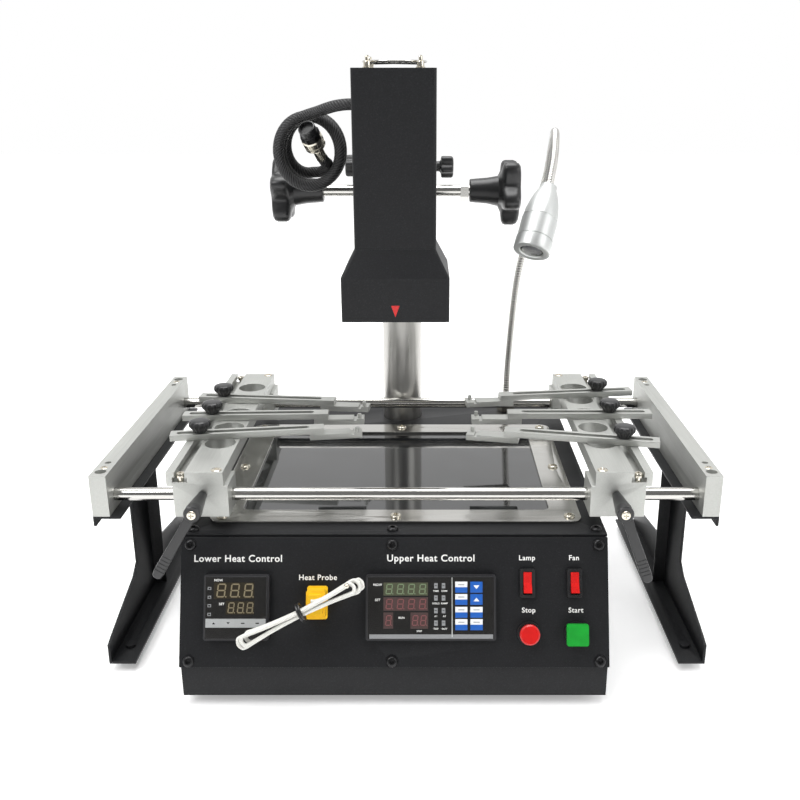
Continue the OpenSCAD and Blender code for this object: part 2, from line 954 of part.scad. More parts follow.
module upper_heater() {
  block_w = 60;
  block_h = 11;
  block_z = 6;
  strap_z = skirt_h - 8;
  color([0.85, 0.83, 0.78])
    in_base()
      translate([0, head_y, hood_z]) {
        translate([0, 0, block_z])
          round_block(block_w, block_w, block_h, 4);
        translate([0, 0, block_z + 1])
          cylinder(h = strap_z - block_z, r = 8);
        translate([-skirt_w / 2 + hood_wall, -8, strap_z])
          cube([skirt_w - 2 * hood_wall, 16, 2]);
      }
}

module fan_frame() {
  color(rubber)
    in_base()
      translate([0, head_y, fan_z]) {
        difference() {
          round_block(fan_size, fan_size, fan_h, 4);
          translate([0, 0, -eps])
            cylinder(h = fan_h + 2 * eps, r = fan_r);
        }
        for (a = [45 : 90 : 315])
          rotate(a)
            translate([0, -1.5, 0])
              cube([fan_r + 2, 3, 2]);
        cylinder(h = 2, r = 10);
        cylinder(h = fan_h - 2, r = fan_pin_r, $fn = 32);
      }
  // side rails that hold the fan between the walls of the box
  gap = (head_w - 2 * hood_wall - fan_size) / 2;
  color(rubber)
    in_base()
      for (s = [-1, 1])
        translate([s * (fan_size + gap) / 2 - gap / 2, head_y - fan_size / 4, fan_z])
          cube([gap, fan_size / 2, fan_h]);
}

module fan_rotor() {
  blades = 7;
  hub_r = 10;
  color([0.1, 0.1, 0.1])
    in_base()
      translate([0, head_y, fan_z + 2.4])
        difference() {
          union() {
            cylinder(h = fan_h - 4, r = hub_r);
            for (i = [0 : blades - 1])
              rotate(i * 360 / blades)
                translate([hub_r - 1, 0, (fan_h - 4) / 2])
                  rotate([38, 0, 0])
                    translate([0, -4.5, -0.6])
                      cube([fan_r - hub_r - 1, 9, 1.2]);
          }
          translate([0, 0, -eps])
            cylinder(h = fan_h, r = fan_pin_r + shaft_gap, $fn = 32);
        }
}

// chrome wire guard: rings on a cross of wires, held by four pointed screws
module fan_guard() {
  wire = 1.7;
  rise = 4;
  corner = 19.5;
  reach = corner * sqrt(2);
  rings = [6, 12, 18, 23.5];
  color(steel)
    in_base()
      translate([0, head_y, head_top]) {
        for (r = rings)
          translate([0, 0, rise])
            rotate_extrude()
              translate([r - wire / 2, 0])
                square(wire);
        for (a = [45, 135])
          rotate([0, 0, a])
            translate([-reach, -wire / 2, rise - wire / 2])
              cube([2 * reach, wire, wire]);
        for (x = [-1, 1], y = [-1, 1])
          translate([x * corner, y * corner, 0]) {
            cylinder(h = rise + wire, r = 2.6, $fn = 24);
            translate([0, 0, rise + wire])
              cylinder(h = 3.3, r1 = 2.6, r2 = 0.6, $fn = 24);
          }
      }
}

// head cable: from the side of the box into a small coil, ending in a round plug
coil_at = [-72, head_y + 58.5, 391];
coil_ring = 24;
coil_r = 8.5;
lead_shape = [[35, -37, 36.5], [30, -31, 33], [27, -23, 25], [25.2, -15, 16], [23.5, -7, 7]];
lead_pts = concat([[-head_w / 2 + hood_wall, cable_y, cable_z]], [for (p = lead_shape) coil_at + p]);
tail_shape = [[22.5, 6, -4], [18.5, 10.5, -12], [5, 13, -16.5], [-4.7, 12, -11], [2, 5, -13],
  [8.5, -2, -11.5], [10, -7.5, -7.6], [9.6, -11.4, -4]];
tail_pts = [for (p = tail_shape) coil_at + p];

module head_cable_lead() {
  color(rubber)
    in_base() {
      tube(path(lead_pts, 4), cable_r, [0, 1, 0.3], 10);
      tube(path(tail_pts, 3), cable_r, [0, 1, 0], 10);
    }
}

module head_cable_coil() {
  color(rubber)
    in_base()
      translate(coil_at)
        rotate([90, 0, 0])
          rotate_extrude()
            translate([coil_ring, 0])
              circle(coil_r, $fn = 32);
}

plug_foot = coil_at + [10, -10, -5.4];
plug_tip = coil_at + [1.2, -37, 20];

module head_plug() {
  len = norm(plug_tip - plug_foot);
  sleeve = 12;
  sleeve_r = 4.5;
  shoulder = 4;
  ring = 12;
  ring_r = 8.6;
  nose_r = 7;
  color(nickel)
    in_base()
      aim(plug_foot, plug_tip)
        difference() {
          union() {
            cylinder(h = sleeve, r = sleeve_r);
            translate([0, 0, sleeve])
              cylinder(h = shoulder, r1 = sleeve_r, r2 = ring_r);
            translate([0, 0, sleeve + shoulder])
              cylinder(h = ring, r = ring_r);
            translate([0, 0, sleeve + shoulder + ring])
              cylinder(h = len - sleeve - shoulder - ring, r = nose_r);
          }
          translate([0, 0, len - 3])
            cylinder(h = 4, r = nose_r - 1.4);
        }
}

// the fixture stands with its rear rod just in front of the column; posts from its middle
rod_clear = 3;
fixture_y = column_y - column_dia / 2 - rod_clear - rod_dia / 2 - rod_half;
leg_foot = 7;
leg_flange = 21;
post_front = -44;
post_back = 0;
foot_over = 3;

module in_fixture() {
  translate([0, front_y + fixture_y, 0])
    children();
}

// stand a child at the outer face of a side, X pointing outwards from it
module at_side(side) {
  in_fixture()
    translate([side * fixture_w / 2, 0, 0])
      children();
}

// a block between two outward distances from the outer face of a side
module side_block(side, u0, u1, y0, y1, z0, z1) {
  at_side(side)
    translate([side > 0 ? u0 : -u1, y0, z0])
      cube([u1 - u0, y1 - y0, z1 - z0]);
}

module fixture_legs() {
  half = rail_len / 2;
  lip = 8;
  low = leg_foot;
  toe = 24;
  heel = 44;
  f = post_front;
  b = post_back;
  color(black)
    for (side = [-1, 1]) {
      at_side(side)
        translate([side > 0 ? -sheet : 0, 0, 0])
          rotate([90, 0, 90])
            linear_extrude(sheet)
              polygon([[-half, rail_z], [-half, rail_z - lip], [f - 12, rail_z - lip],
                [f, rail_z - 2 * lip], [f, heel + lip], [f - 12, heel], [-half + 6, toe + 3],
                [-half - foot_over, toe], [-half - foot_over, low], [half + foot_over, low],
                [half + foot_over, toe], [half - 6, toe + 3], [b + 12, heel], [b, heel + lip],
                [b, rail_z - 2 * lip], [b + 12, rail_z - lip], [half, rail_z - lip],
                [half, rail_z]]);
      side_block(side, -leg_flange, 0, -half, half, rail_z - sheet, rail_z);
      side_block(side, -leg_flange, 0, -half - foot_over, half + foot_over, low, low + sheet);
      side_block(side, -12, 0, b - sheet, b, low, rail_z);
      for (y = [-1, 1])
        at_side(side)
          translate([-side * leg_flange / 2, y * (half - 19), low + sheet])
            cylinder(h = 2.5, r = 4, $fn = 24);
    }
  color(rubber)
    for (side = [-1, 1], y = [-1, 1])
      at_side(side)
        translate([-side * leg_flange / 2, y * (half - 19), 0])
          cylinder(h = leg_foot, r1 = 6.5, r2 = 7.5, $fn = 32);
}

rod_z = rail_z + 11.3;

module side_rails() {
  half = rail_len / 2;
  rod_in = rail_t - 3;
  color(alloy)
    for (side = [-1, 1])
      difference() {
        side_block(side, -rail_t, 0, -half, half, rail_z, rail_z + rail_h);
        for (y = [-1, 1]) {
          at_side(side)
            translate([-side * rail_t, y * rod_half, rod_z])
              rotate([0, side * 90, 0])
                translate([0, 0, -1])
                  cylinder(h = rod_in + 1, r = rod_dia / 2 + shaft_gap);
          at_side(side)
            translate([-side * rail_t / 2, y * (half - 9), rail_z + rail_h - 8])
              cylinder(h = 10, r = 4.2);
          at_side(side)
            translate([-side * rail_t / 2, y * (half - 27), rail_z + rail_h - 4])
              cylinder(h = 10, r = 2.4, $fn = 24);
        }
      }
}

module guide_rods() {
  span = fixture_w - 6;
  color(steel)
    for (y = [-1, 1])
      in_fixture()
        translate([-span / 2, y * rod_half, rod_z])
          rotate([0, 90, 0])
            cylinder(h = span, r = rod_dia / 2);
}

// carriage heights and the widths of its top profile, outward from the block centre
block_w = 41;
block_d = 30;
web_z = 159;
web_t = 3;
plate_z = 170;
plate_in = -17.5;
slot_u = 14.8;
slot_half = 3.8;
tee_half = 5.5;
tee_h = 4;
strip_out = 25;
lever_u = -1.5;
lever_z = 152;
stud_r = 3;
stud_in = 8;
bar_half = rail_len / 2;
function carriage_x(side) = side * (fixture_w / 2 - carriage_in) + carriage_off;

// a block between two outward distances from a carriage centre
module carriage_block(side, u0, u1, y0, y1, z0, z1) {
  in_fixture()
    translate([carriage_x(side) + (side > 0 ? u0 : -u1), y0, z0])
      cube([u1 - u0, y1 - y0, z1 - z0]);
}

module carriage(side) {
  hole_n = 5;
  hole_pitch = 36.5;
  hole_r = 12.2;
  hole_y = 8;
  past = 1;
  color(alloy)
    difference() {
      union() {
        carriage_block(side, plate_in, strip_out, -bar_half, bar_half, web_z, plate_z);
        for (y = [-bar_half, bar_half - block_d])
          carriage_block(side, -block_w / 2, block_w / 2, y, y + block_d, rail_z, web_z);
      }
      carriage_block(side, slot_u - slot_half, slot_u + slot_half, -bar_half - past,
        bar_half + past, web_z + web_t, plate_z + past);
      carriage_block(side, slot_u - tee_half, slot_u + tee_half, -bar_half - past,
        bar_half + past, web_z + web_t, web_z + web_t + tee_h);
      for (i = [0 : hole_n - 1])
        in_fixture()
          translate([carriage_x(side) + side * (plate_in + slot_u - slot_half) / 2,
            hole_y + (i - (hole_n - 1) / 2) * hole_pitch, web_z - past])
            cylinder(h = plate_z - web_z + 2 * past, r = hole_r);
      for (y = [-1, 1])
        in_fixture()
          translate([carriage_x(side), y * rod_half, rod_z])
            rotate([0, 90, 0])
              cylinder(h = block_w + 2 * past, r = rod_dia / 2 + shaft_gap, center = true);
      in_fixture()
        translate([carriage_x(side) + side * lever_u, -bar_half - past, lever_z])
          rotate([-90, 0, 0])
            cylinder(h = stud_in + past, r = stud_r + shaft_gap, $fn = 32);
    }
}

module left_carriage() {
  carriage(-1);
}

module right_carriage() {
  carriage(1);
}

// clamping lever: stud, hub and a handle that hangs down and outwards
lever_hub = 35;
lever_len = 57;
lever_lean = [28.7, 17.5];

module clamp_lever(side, lean) {
  grip = 8;
  hub_r = 6.2;
  bar_w = 8.4;
  step = 0.5;
  cap_r = 3.5;
  color(rubber)
    in_fixture()
      translate([carriage_x(side) + side * lever_u, -bar_half, lever_z])
        rotate([90, 0, 0]) {
          translate([0, 0, -stud_in + run_gap])
            cylinder(h = stud_in + 2, r = stud_r, $fn = 32);
          translate([0, 0, run_gap])
            cylinder(h = lever_hub - grip - run_gap, r1 = stud_r + 0.4, r2 = hub_r);
          translate([0, 0, lever_hub - grip])
            cylinder(h = grip, r = hub_r);
          translate([0, 0, lever_hub])
            cylinder(h = 1.6, r = cap_r, $fn = 24);
          rotate(-90 + side * lean)
            translate([0, -bar_w / 2, lever_hub - grip + step])
              cube([lever_len, bar_w, grip - 2 * step]);
        }
}

module left_clamp_lever() {
  clamp_lever(-1, lever_lean[0]);
}

module right_clamp_lever() {
  clamp_lever(1, lever_lean[1]);
}

// board arms and the thumb screws that hold them in the carriage slots
arm_z = plate_z + run_gap;
arm_slot = 2.5 + 0.2;
arm_stud = 2.5;
cap_z = arm_z + arm_t + run_gap;
jaw_drop = 5;

// the pivot of an arm on its carriage
module at_pivot(side, y) {
  translate([carriage_x(side) + side * slot_u, front_y + fixture_y + y, 0])
    children();
}

module arm(side, y, turn, tail) {
  inner = arm_len - tail;
  slot_a = -tail + 8;
  slot_b = inner - 15;
  step = 12;
  color(alloy)
    at_pivot(side, y)
      rotate(side < 0 ? turn : 180 + turn)
        difference() {
          union() {
            translate([-tail, -arm_w / 2, arm_z])
              cube([arm_len, arm_w, arm_t]);
            translate([inner - step, -arm_w / 2, arm_z - jaw_drop])
              cube([step, arm_w, jaw_drop + 1]);
            translate([inner - 1, -arm_w / 2, arm_z - jaw_drop])
              cube([jaw_len + 1, arm_w, jaw_drop]);
            translate([inner + jaw_len - 4, -arm_w / 2 + 3, arm_z - 1])
              cylinder(h = 5, r = 1.6, $fn = 24);
          }
          translate([slot_a, 0, arm_z - 1])
            cylinder(h = arm_t + 2, r = arm_slot, $fn = 32);
          translate([slot_b, 0, arm_z - 1])
            cylinder(h = arm_t + 2, r = arm_slot, $fn = 32);
          translate([slot_a, -arm_slot, arm_z - 1])
            cube([slot_b - slot_a, 2 * arm_slot, arm_t + 2]);
          translate([inner + jaw_len - 9, -arm_w / 2 - 1, arm_z - 1.6])
            cube([2.4, arm_w + 2, 3]);
        }
}

module arm_screw(side, y) {
  cap_h = 9;
  foot_r = 5.4;
  cap_r = 7.6;
  color(rubber)
    at_pivot(side, y) {
      translate([-tee_half + run_gap, -5, web_z + web_t + run_gap])
        cube([2 * (tee_half - run_gap), 10, tee_h - 2 * run_gap]);
      translate([0, 0, web_z + web_t + 1])
        cylinder(h = cap_z - web_z - web_t, r = arm_stud, $fn = 32);
      translate([0, 0, cap_z])
        cylinder(h = cap_h, r1 = foot_r, r2 = cap_r);
      translate([0, 0, cap_z + cap_h])
        cylinder(h = 1.2, r1 = cap_r, r2 = cap_r - 1);
    }
}

module arm_left_front() {
  arm(-1, left_at[0], left_turn[0], left_tail[0]);
}

module arm_left_middle() {
  arm(-1, left_at[1], left_turn[1], left_tail[1]);
}

module arm_left_rear() {
  arm(-1, left_at[2], left_turn[2], left_tail[2]);
}

module arm_right_front() {
  arm(1, right_at[0], right_turn[0], right_tail[0]);
}

module arm_right_middle() {
  arm(1, right_at[1], right_turn[1], right_tail[1]);
}

module arm_right_rear() {
  arm(1, right_at[2], right_turn[2], right_tail[2]);
}

module screw_left_front() {
  arm_screw(-1, left_at[0]);
}

module screw_left_middle() {
  arm_screw(-1, left_at[1]);
}

module screw_left_rear() {
  arm_screw(-1, left_at[2]);
}

module screw_right_front() {
  arm_screw(1, right_at[0]);
}

module screw_right_middle() {
  arm_screw(1, right_at[1]);
}

module screw_right_rear() {
  arm_screw(1, right_at[2]);
}

base_tub();
front_panel();
top_deck();
heater_frame();
heater_glass();
lower_heater();
base_feet();
base_screws();
lower_controller();
upper_controller();
sensor_socket();
sensor_plug();
sensor_hank();
panel_bezels();
column();
column_socket();
lamp_gooseneck();
lamp_head();
lamp_lens();
cable_gland();
light_rocker();
fan_rocker();
stop_button();
start_button();
swing_bracket();
lift_shaft();
left_knob();
right_knob();
left_lock_screw();
right_lock_screw();
head_housing();
heater_hood();
upper_heater();
head_slide();
lift_rack();
fan_frame();
fan_guard();
fan_rotor();
head_cable_lead();
head_cable_coil();
head_plug();
fixture_legs();
side_rails();
guide_rods();
left_carriage();
right_carriage();
left_clamp_lever();
right_clamp_lever();
arm_left_front();
arm_left_middle();
arm_left_rear();
arm_right_front();
arm_right_middle();
arm_right_rear();
screw_left_front();
screw_left_middle();
screw_left_rear();
screw_right_front();
screw_right_middle();
screw_right_rear();
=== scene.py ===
"""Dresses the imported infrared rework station: finishes for its metal, glass and plastic, the faces of
its panel meters, its two cords, hand knobs, fasteners and lamp, and a plain stage with a camera."""
import json
import math

import bmesh
import bpy
from mathutils import Matrix, Vector


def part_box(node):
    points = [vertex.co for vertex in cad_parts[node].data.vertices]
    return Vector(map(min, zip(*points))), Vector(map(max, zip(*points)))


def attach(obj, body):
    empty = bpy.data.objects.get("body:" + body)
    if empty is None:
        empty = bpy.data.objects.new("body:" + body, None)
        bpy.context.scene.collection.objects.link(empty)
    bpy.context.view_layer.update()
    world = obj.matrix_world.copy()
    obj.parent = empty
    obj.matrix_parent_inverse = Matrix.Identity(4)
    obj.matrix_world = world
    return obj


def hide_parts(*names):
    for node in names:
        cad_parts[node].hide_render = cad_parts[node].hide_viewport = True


bl_info = {
    "name": "Rework station dressing",
    "version": (1, 0, 0),
    "blender": (4, 5, 0),
    "location": "3D View > Sidebar > Station",
    "description": "Builds the visual pieces of an infrared rework station on its CAD frame",
    "category": "Object",
}

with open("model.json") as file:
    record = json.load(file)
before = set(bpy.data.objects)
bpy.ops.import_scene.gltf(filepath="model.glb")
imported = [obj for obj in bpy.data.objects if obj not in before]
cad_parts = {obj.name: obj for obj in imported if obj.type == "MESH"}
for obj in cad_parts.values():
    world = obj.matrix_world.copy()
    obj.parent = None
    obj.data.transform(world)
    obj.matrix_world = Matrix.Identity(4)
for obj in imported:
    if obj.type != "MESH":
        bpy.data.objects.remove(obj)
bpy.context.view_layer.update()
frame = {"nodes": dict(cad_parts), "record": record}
NODES = frame["nodes"]
JOINTS = frame["record"]["behaviour"]["joints"]
BODY_OF = {n: b for b, ns in frame["record"]["behaviour"]["bodies"].items() for n in ns}
MM = 0.001
SHEET = 2 * MM
INK = 0.05 * MM
BASE_DEPTH = 340
UP = Vector((0, 0, 1))


def box(node):
    """Lowest and highest corner of a CAD node."""
    low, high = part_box(node)
    return Vector(low), Vector(high)


def pivot(node):
    """Where the joint that moves a CAD node stands."""
    return Vector(next(j["pos_m"] for j in JOINTS if j["child"] == BODY_OF[node]))


def panel_frame():
    """Matrix of the sloping panel: X across, Y up the slope, Z out of its back face."""
    low, high = box("front_panel")
    tilt = math.atan2(high.y - low.y, high.z - low.z)
    for _ in range(20):
        foot_y = low.y + SHEET * math.cos(tilt)
        tilt = math.atan2(high.y - foot_y, high.z - low.z - SHEET * math.sin(tilt))
    turn = Matrix.Rotation(math.pi / 2 - tilt, 4, "X")
    return Matrix.Translation(((low.x + high.x) / 2, foot_y, low.z)) @ turn


PANEL = panel_frame()
PANEL_BACK = PANEL.inverted()


def panel_box(node):
    """Lowest and highest corner of a CAD node in the panel's own axes."""
    points = [PANEL_BACK @ v.co for v in NODES[node].data.vertices]
    return (Vector([min(p[i] for p in points) for i in range(3)]),
            Vector([max(p[i] for p in points) for i in range(3)]))


def length(name, description, default):
    return bpy.props.FloatProperty(name=name, description=description, default=default, unit="LENGTH")


def colour(name, description, default):
    return bpy.props.FloatVectorProperty(name=name, description=description, default=default,
                                         subtype="COLOR")


class StationSizes(bpy.types.PropertyGroup):
    """Sizes a user may want to change."""

    edge: length("Broken edge", "Width of the small chamfer on metal edges", 0.3 * MM)
    cable: length("Head cable", "Diameter of the braided head cable", 9 * MM)
    probe: length("Probe lead", "Diameter of the white probe lead", 2.8 * MM)
    neck: length("Lamp neck", "Diameter of the flexible lamp neck", 7 * MM)
    rib: length("Neck rib", "Pitch of the ribs of the lamp neck", 2.6 * MM)
    letter: length("Lettering", "Height of the words on the panel", 5.2 * MM)
    lens: bpy.props.FloatProperty(
        name="Focal length", description="Camera focal length in millimetres", default=41.94)
    floor: length("Floor", "Half width of the floor", 6.0)


class StationColours(bpy.types.PropertyGroup):
    """Colours a user may want to change."""

    coat: colour("Powder coat", "Black of the sheet metal", (0.0100, 0.0104, 0.0116))
    alloy: colour("Alloy", "Satin anodised alloy", (0.44, 0.446, 0.425))
    steel: colour("Steel", "Polished steel", (0.66, 0.65, 0.62))
    red: colour("Red", "Switches and stop button", (0.52, 0.005, 0.004))
    green: colour("Green", "Start button", (0.004, 0.27, 0.022))
    yellow: colour("Yellow", "Probe plug and socket", (0.85, 0.5, 0.012))
    print_white: colour("Print", "Words on the panel", (0.78, 0.78, 0.76))
    amber: colour("Amber digit", "Unlit digits of the lower meter", (0.20, 0.165, 0.10))


def sizes():
    return bpy.context.scene.station_sizes


def colours():
    return bpy.context.scene.station_colours


# nodes and materials

def set_inputs(tree, node, inputs):
    """Sets a node's inputs by name; a value that is a socket is linked."""
    for name, value in inputs.items():
        if isinstance(value, bpy.types.NodeSocket):
            tree.links.new(value, node.inputs[name])
        else:
            node.inputs[name].default_value = value
    return node


def add_node(tree, kind, inputs=None, **settings):
    """A new node with its settings and inputs."""
    node = tree.nodes.new(kind)
    for name, value in settings.items():
        setattr(node, name, value)
    return set_inputs(tree, node, inputs or {})


def shader(name, base, rough, metal=0.0):
    """A new material with one principled shader, its tree and the shader node."""
    mat = bpy.data.materials.new(name)
    mat.use_nodes = True
    tree = mat.node_tree
    bsdf = next(n for n in tree.nodes if n.type == "BSDF_PRINCIPLED")
    set_inputs(tree, bsdf, {"Base Color": (*base, 1), "Roughness": rough, "Metallic": metal})
    return mat, tree, bsdf


def coords(tree, scale=(1, 1, 1), turn=(0, 0, 0), uv=False):
    """Object (or UV) coordinates through a mapping."""
    source = add_node(tree, "ShaderNodeTexCoord").outputs["UV" if uv else "Object"]
    mapping = {"Scale": scale, "Rotation": turn, "Vector": source}
    return add_node(tree, "ShaderNodeMapping", mapping).outputs["Vector"]


def noise(tree, vector, scale, detail=3.0):
    inputs = {"Scale": scale, "Detail": detail, "Roughness": 0.55, "Vector": vector}
    return add_node(tree, "ShaderNodeTexNoise", inputs).outputs["Fac"]


def spread(tree, value, low, high, start=0.25, end=0.75):
    """Stretches a value from start..end to low..high."""
    inputs = {"Value": value, "From Min": start, "From Max": end, "To Min": low, "To Max": high}
    return add_node(tree, "ShaderNodeMapRange", inputs).outputs["Result"]


def ramp(tree, value, *stops):
    """Colour ramp from (place, colour) stops."""
    node = add_node(tree, "ShaderNodeValToRGB", {"Fac": value})
    points = node.color_ramp.elements
    while len(points) < len(stops):
        points.new(0.5)
    for point, (place, shade) in zip(points, stops):
        point.position = place
        point.color = (*shade, 1)
    return node.outputs["Color"]


def bump(tree, height, depth, strength=1.0):
    """Relief whose depth is given in millimetres."""
    inputs = {"Strength": strength, "Distance": depth * MM, "Height": height}
    return add_node(tree, "ShaderNodeBump", inputs).outputs["Normal"]


def tone(shade, factor):
    return tuple(min(1.0, c * factor) for c in shade)


def grained(name, base, rough, metal, scale, depth, vary, wander=0.08, stretch=(1, 1, 1), glow=0.0):
    """A finish with fine grain in its colour, gloss and relief."""
    mat, tree, bsdf = shader(name, base, rough, metal)
    fine = noise(tree, coords(tree, stretch), scale)
    broad = noise(tree, coords(tree), 22, 4)
    set_inputs(tree, bsdf, {
        "Base Color": ramp(tree, fine, (0.25, tone(base, 1 - vary)), (0.75, tone(base, 1 + vary))),
        "Roughness": spread(tree, broad, rough - wander, rough + wander),
        "Normal": bump(tree, fine, depth),
        "Emission Color": (1, 1, 1, 1), "Emission Strength": glow})
    return mat


def powder_coat(name, base):
    """Fine textured black coat: orange-peel grains, faint pale specks and a soft sheen."""
    mat, tree, bsdf = shader(name, base, 0.42)
    place = coords(tree)
    peel = noise(tree, place, 1900, 2)
    specks = noise(tree, place, 1100, 1)
    broad = noise(tree, place, 14, 4)
    set_inputs(tree, bsdf, {
        "Base Color": ramp(tree, specks, (0.3, tone(base, 0.78)), (0.62, tone(base, 1.08)),
                           (0.8, tone(base, 1.9))),
        "Roughness": spread(tree, broad, 0.38, 0.5),
        "Normal": bump(tree, peel, 0.1, 0.45), "Specular IOR Level": 0.22})
    return mat


def polished(name, base, rough, stretch, scale, drawn):
    """Bright metal with faint drawn lines."""
    mat, tree, bsdf = shader(name, base, rough, 1.0)
    lines = noise(tree, coords(tree, stretch), scale, 4)
    set_inputs(tree, bsdf, {
        "Roughness": spread(tree, lines, max(0.02, rough - drawn), rough + drawn),
        "Base Color": ramp(tree, lines, (0.3, tone(base, 0.93)), (0.7, tone(base, 1.04)))})
    return mat


def dark_glass(name):
    """Near-black ceramic glass with a very faint haze of dust."""
    base = (0.006, 0.0065, 0.007)
    mat, tree, bsdf = shader(name, base, 0.04)
    haze = noise(tree, coords(tree), 30, 5)
    set_inputs(tree, bsdf, {
        "Base Color": ramp(tree, haze, (0.4, base), (0.8, tone(base, 3))),
        "Roughness": spread(tree, haze, 0.02, 0.1),
        "Coat Weight": 0.5, "Coat Roughness": 0.02})
    return mat


def braid(name, base, along, around, gap_shade, depth, rough):
    """Plaited sleeve that follows a tube's own UV map; its colour is the plait pattern with painted shade in
    the gaps between threads and a painted highlight on the thread crowns.
    """
    mat, tree, bsdf = shader(name, base, rough)
    waves = []
    for lean in (1, -1):
        place = coords(tree, (along, lean * around, 1), (0, 0, lean * math.pi / 4), uv=True)
        waves.append(add_node(tree, "ShaderNodeTexWave", {"Scale": 1.0, "Vector": place},
                              wave_type="BANDS", bands_direction="X").outputs["Fac"])
    plait = add_node(tree, "ShaderNodeMath", operation="MULTIPLY")
    for socket, wave in zip(plait.inputs, waves):
        tree.links.new(wave, socket)
    plait = plait.outputs[0]
    set_inputs(tree, bsdf, {
        # painted shade darkens the gaps of the plait by the gap factor and a painted highlight lightens the
        # thread crowns
        "Base Color": ramp(tree, plait, (0.02, tone(base, gap_shade)), (0.5, tone(base, 1.2))),
        "Normal": bump(tree, plait, depth)})
    return mat


def clear_lens(name):
    mat, tree, bsdf = shader(name, (0.95, 0.97, 1.0), 0.05)
    facets = noise(tree, coords(tree), 500, 1)
    set_inputs(tree, bsdf, {"Transmission Weight": 0.9, "IOR": 1.45, "Normal": bump(tree, facets, 0.2)})
    return mat


def screen(name, base):
    """Tinted display window: glossy film over a faint dot raster."""
    mat, tree, bsdf = shader(name, base, 0.2)
    dots = noise(tree, coords(tree), 2600, 1)
    set_inputs(tree, bsdf, {
        "Base Color": ramp(tree, dots, (0.3, tone(base, 0.82)), (0.7, tone(base, 1.18))),
        "Roughness": spread(tree, noise(tree, coords(tree), 40, 3), 0.14, 0.26)})
    return mat


MATS = {}


def make_materials():
    """Makes every finish; a row holds its key, its name and the other values of its function."""
    c = colours()
    coat, alloy, steel = tuple(c.coat), tuple(c.alloy), tuple(c.steel)
    along_x, along_y, along_z, even = (0.02, 1, 1), (1, 0.02, 1), (1, 1, 0.02), (1, 1, 1)
    for make, rows in (
            (powder_coat, (("coat", "black_powder_coat", coat),)),
            (dark_glass, (("glass", "heater_glass_black"),)),
            (clear_lens, (("lens", "lamp_lens_clear"),)),
            (polished, (
                ("sheet", "bright_sheet", tone(steel, 0.86), 0.17, along_x, 700, 0.05),
                ("mirror", "mirror_steel", steel, 0.07, even, 40, 0.04),
                ("column", "drawn_tube", tone(steel, 0.72), 0.32, along_z, 900, 0.06),
                ("rod", "ground_rod", tone(steel, 0.76), 0.15, along_x, 900, 0.05),
                ("nickel", "nickel_plate", (0.66, 0.62, 0.53), 0.16, even, 300, 0.06),
                ("wire", "chrome_wire", tone(steel, 0.85), 0.14, even, 200, 0.04))),
            (braid, (
                # braid rows: key, name, base, along, around, painted shade factor of the plait gaps, bump
                # depth, roughness
                ("braid", "black_braid", (0.026, 0.026, 0.0275), 180, 4, 0.25, 0.35, 0.62),
                ("fibre", "white_fibre", (0.76, 0.755, 0.71), 420, 3, 0.7, 0.2, 0.8))),
            (screen, (
                ("amber_screen", "amber_screen", (0.022, 0.018, 0.011)),
                ("green_screen", "green_screen", (0.060, 0.064, 0.040)),
                ("red_screen", "red_screen", (0.060, 0.040, 0.038)))),
            (grained, (
                ("alloy", "satin_alloy", alloy, 0.48, 0.8, 1400, 0.012, 0.07, 0.06, along_y),
                ("arm", "ground_alloy", tone(alloy, 1.02), 0.44, 0.85, 1500, 0.01, 0.06, 0.07, along_x),
                ("lamp", "lamp_alloy", (0.6, 0.615, 0.605), 0.4, 0.85, 1200, 0.01, 0.05, 0.06),
                ("plastic", "moulded_black", (0.012, 0.0122, 0.013), 0.33, 0, 700, 0.03, 0.2, 0.09),
                ("rubber", "foot_rubber", (0.016, 0.016, 0.016), 0.72, 0, 900, 0.05, 0.2),
                ("meter", "meter_case", (0.022, 0.022, 0.024), 0.42, 0, 1600, 0.03, 0.15),
                ("window", "meter_window", (0.012, 0.0115, 0.011), 0.16, 0, 120, 0.002, 0.1, 0.05),
                ("strip", "key_strip", (0.22, 0.225, 0.23), 0.38, 0, 1500, 0.02, 0.06),
                ("red", "red_plastic", tuple(c.red), 0.27, 0, 160, 0.01, 0.12, 0.06),
                ("green", "green_plastic", tuple(c.green), 0.3, 0, 160, 0.01, 0.14, 0.06),
                ("yellow", "yellow_plastic", tuple(c.yellow), 0.36, 0, 260, 0.02, 0.1, 0.07),
                ("ceramic", "white_ceramic", (0.68, 0.65, 0.58), 0.6, 0, 300, 0.1, 0.08),
                ("oxide", "black_oxide", (0.02, 0.02, 0.021), 0.3, 0.7, 900, 0.02, 0.2),
                ("print", "panel_print", tuple(c.print_white), 0.55, 0, 1800, 0.01, 0.05),
                ("amber", "amber_segment", tuple(c.amber), 0.35, 0, 900, 0.005, 0.08),
                ("green_digit", "green_segment", (0.14, 0.19, 0.105), 0.4, 0, 900, 0.005, 0.1),
                ("red_digit", "red_segment", (0.17, 0.050, 0.052), 0.4, 0, 900, 0.005, 0.1),
                ("led", "lamp_emitter", (0.62, 0.5, 0.16), 0.35, 0, 700, 0.02, 0.2),
                ("key_grey", "key_grey", (0.33, 0.34, 0.34), 0.42, 0, 1500, 0.02, 0.06),
                ("blue_key", "blue_key", (0.012, 0.095, 0.40), 0.34, 0, 900, 0.01, 0.08),
                ("white_key", "white_key", (0.72, 0.73, 0.75), 0.4, 0, 900, 0.01, 0.04)))):
        for key, *look in rows:
            MATS[key] = make(*look)


def paint(obj, key):
    """Gives an object one material in all its slots."""
    obj.data.materials.clear()
    obj.data.materials.append(MATS[key])


# mesh helpers; their sizes are in millimetres, their places in metres

def to_mesh(name, bm):
    """Turns a bmesh into a mesh and frees it."""
    mesh = bpy.data.meshes.new(name)
    bm.to_mesh(mesh)
    bm.free()
    return mesh


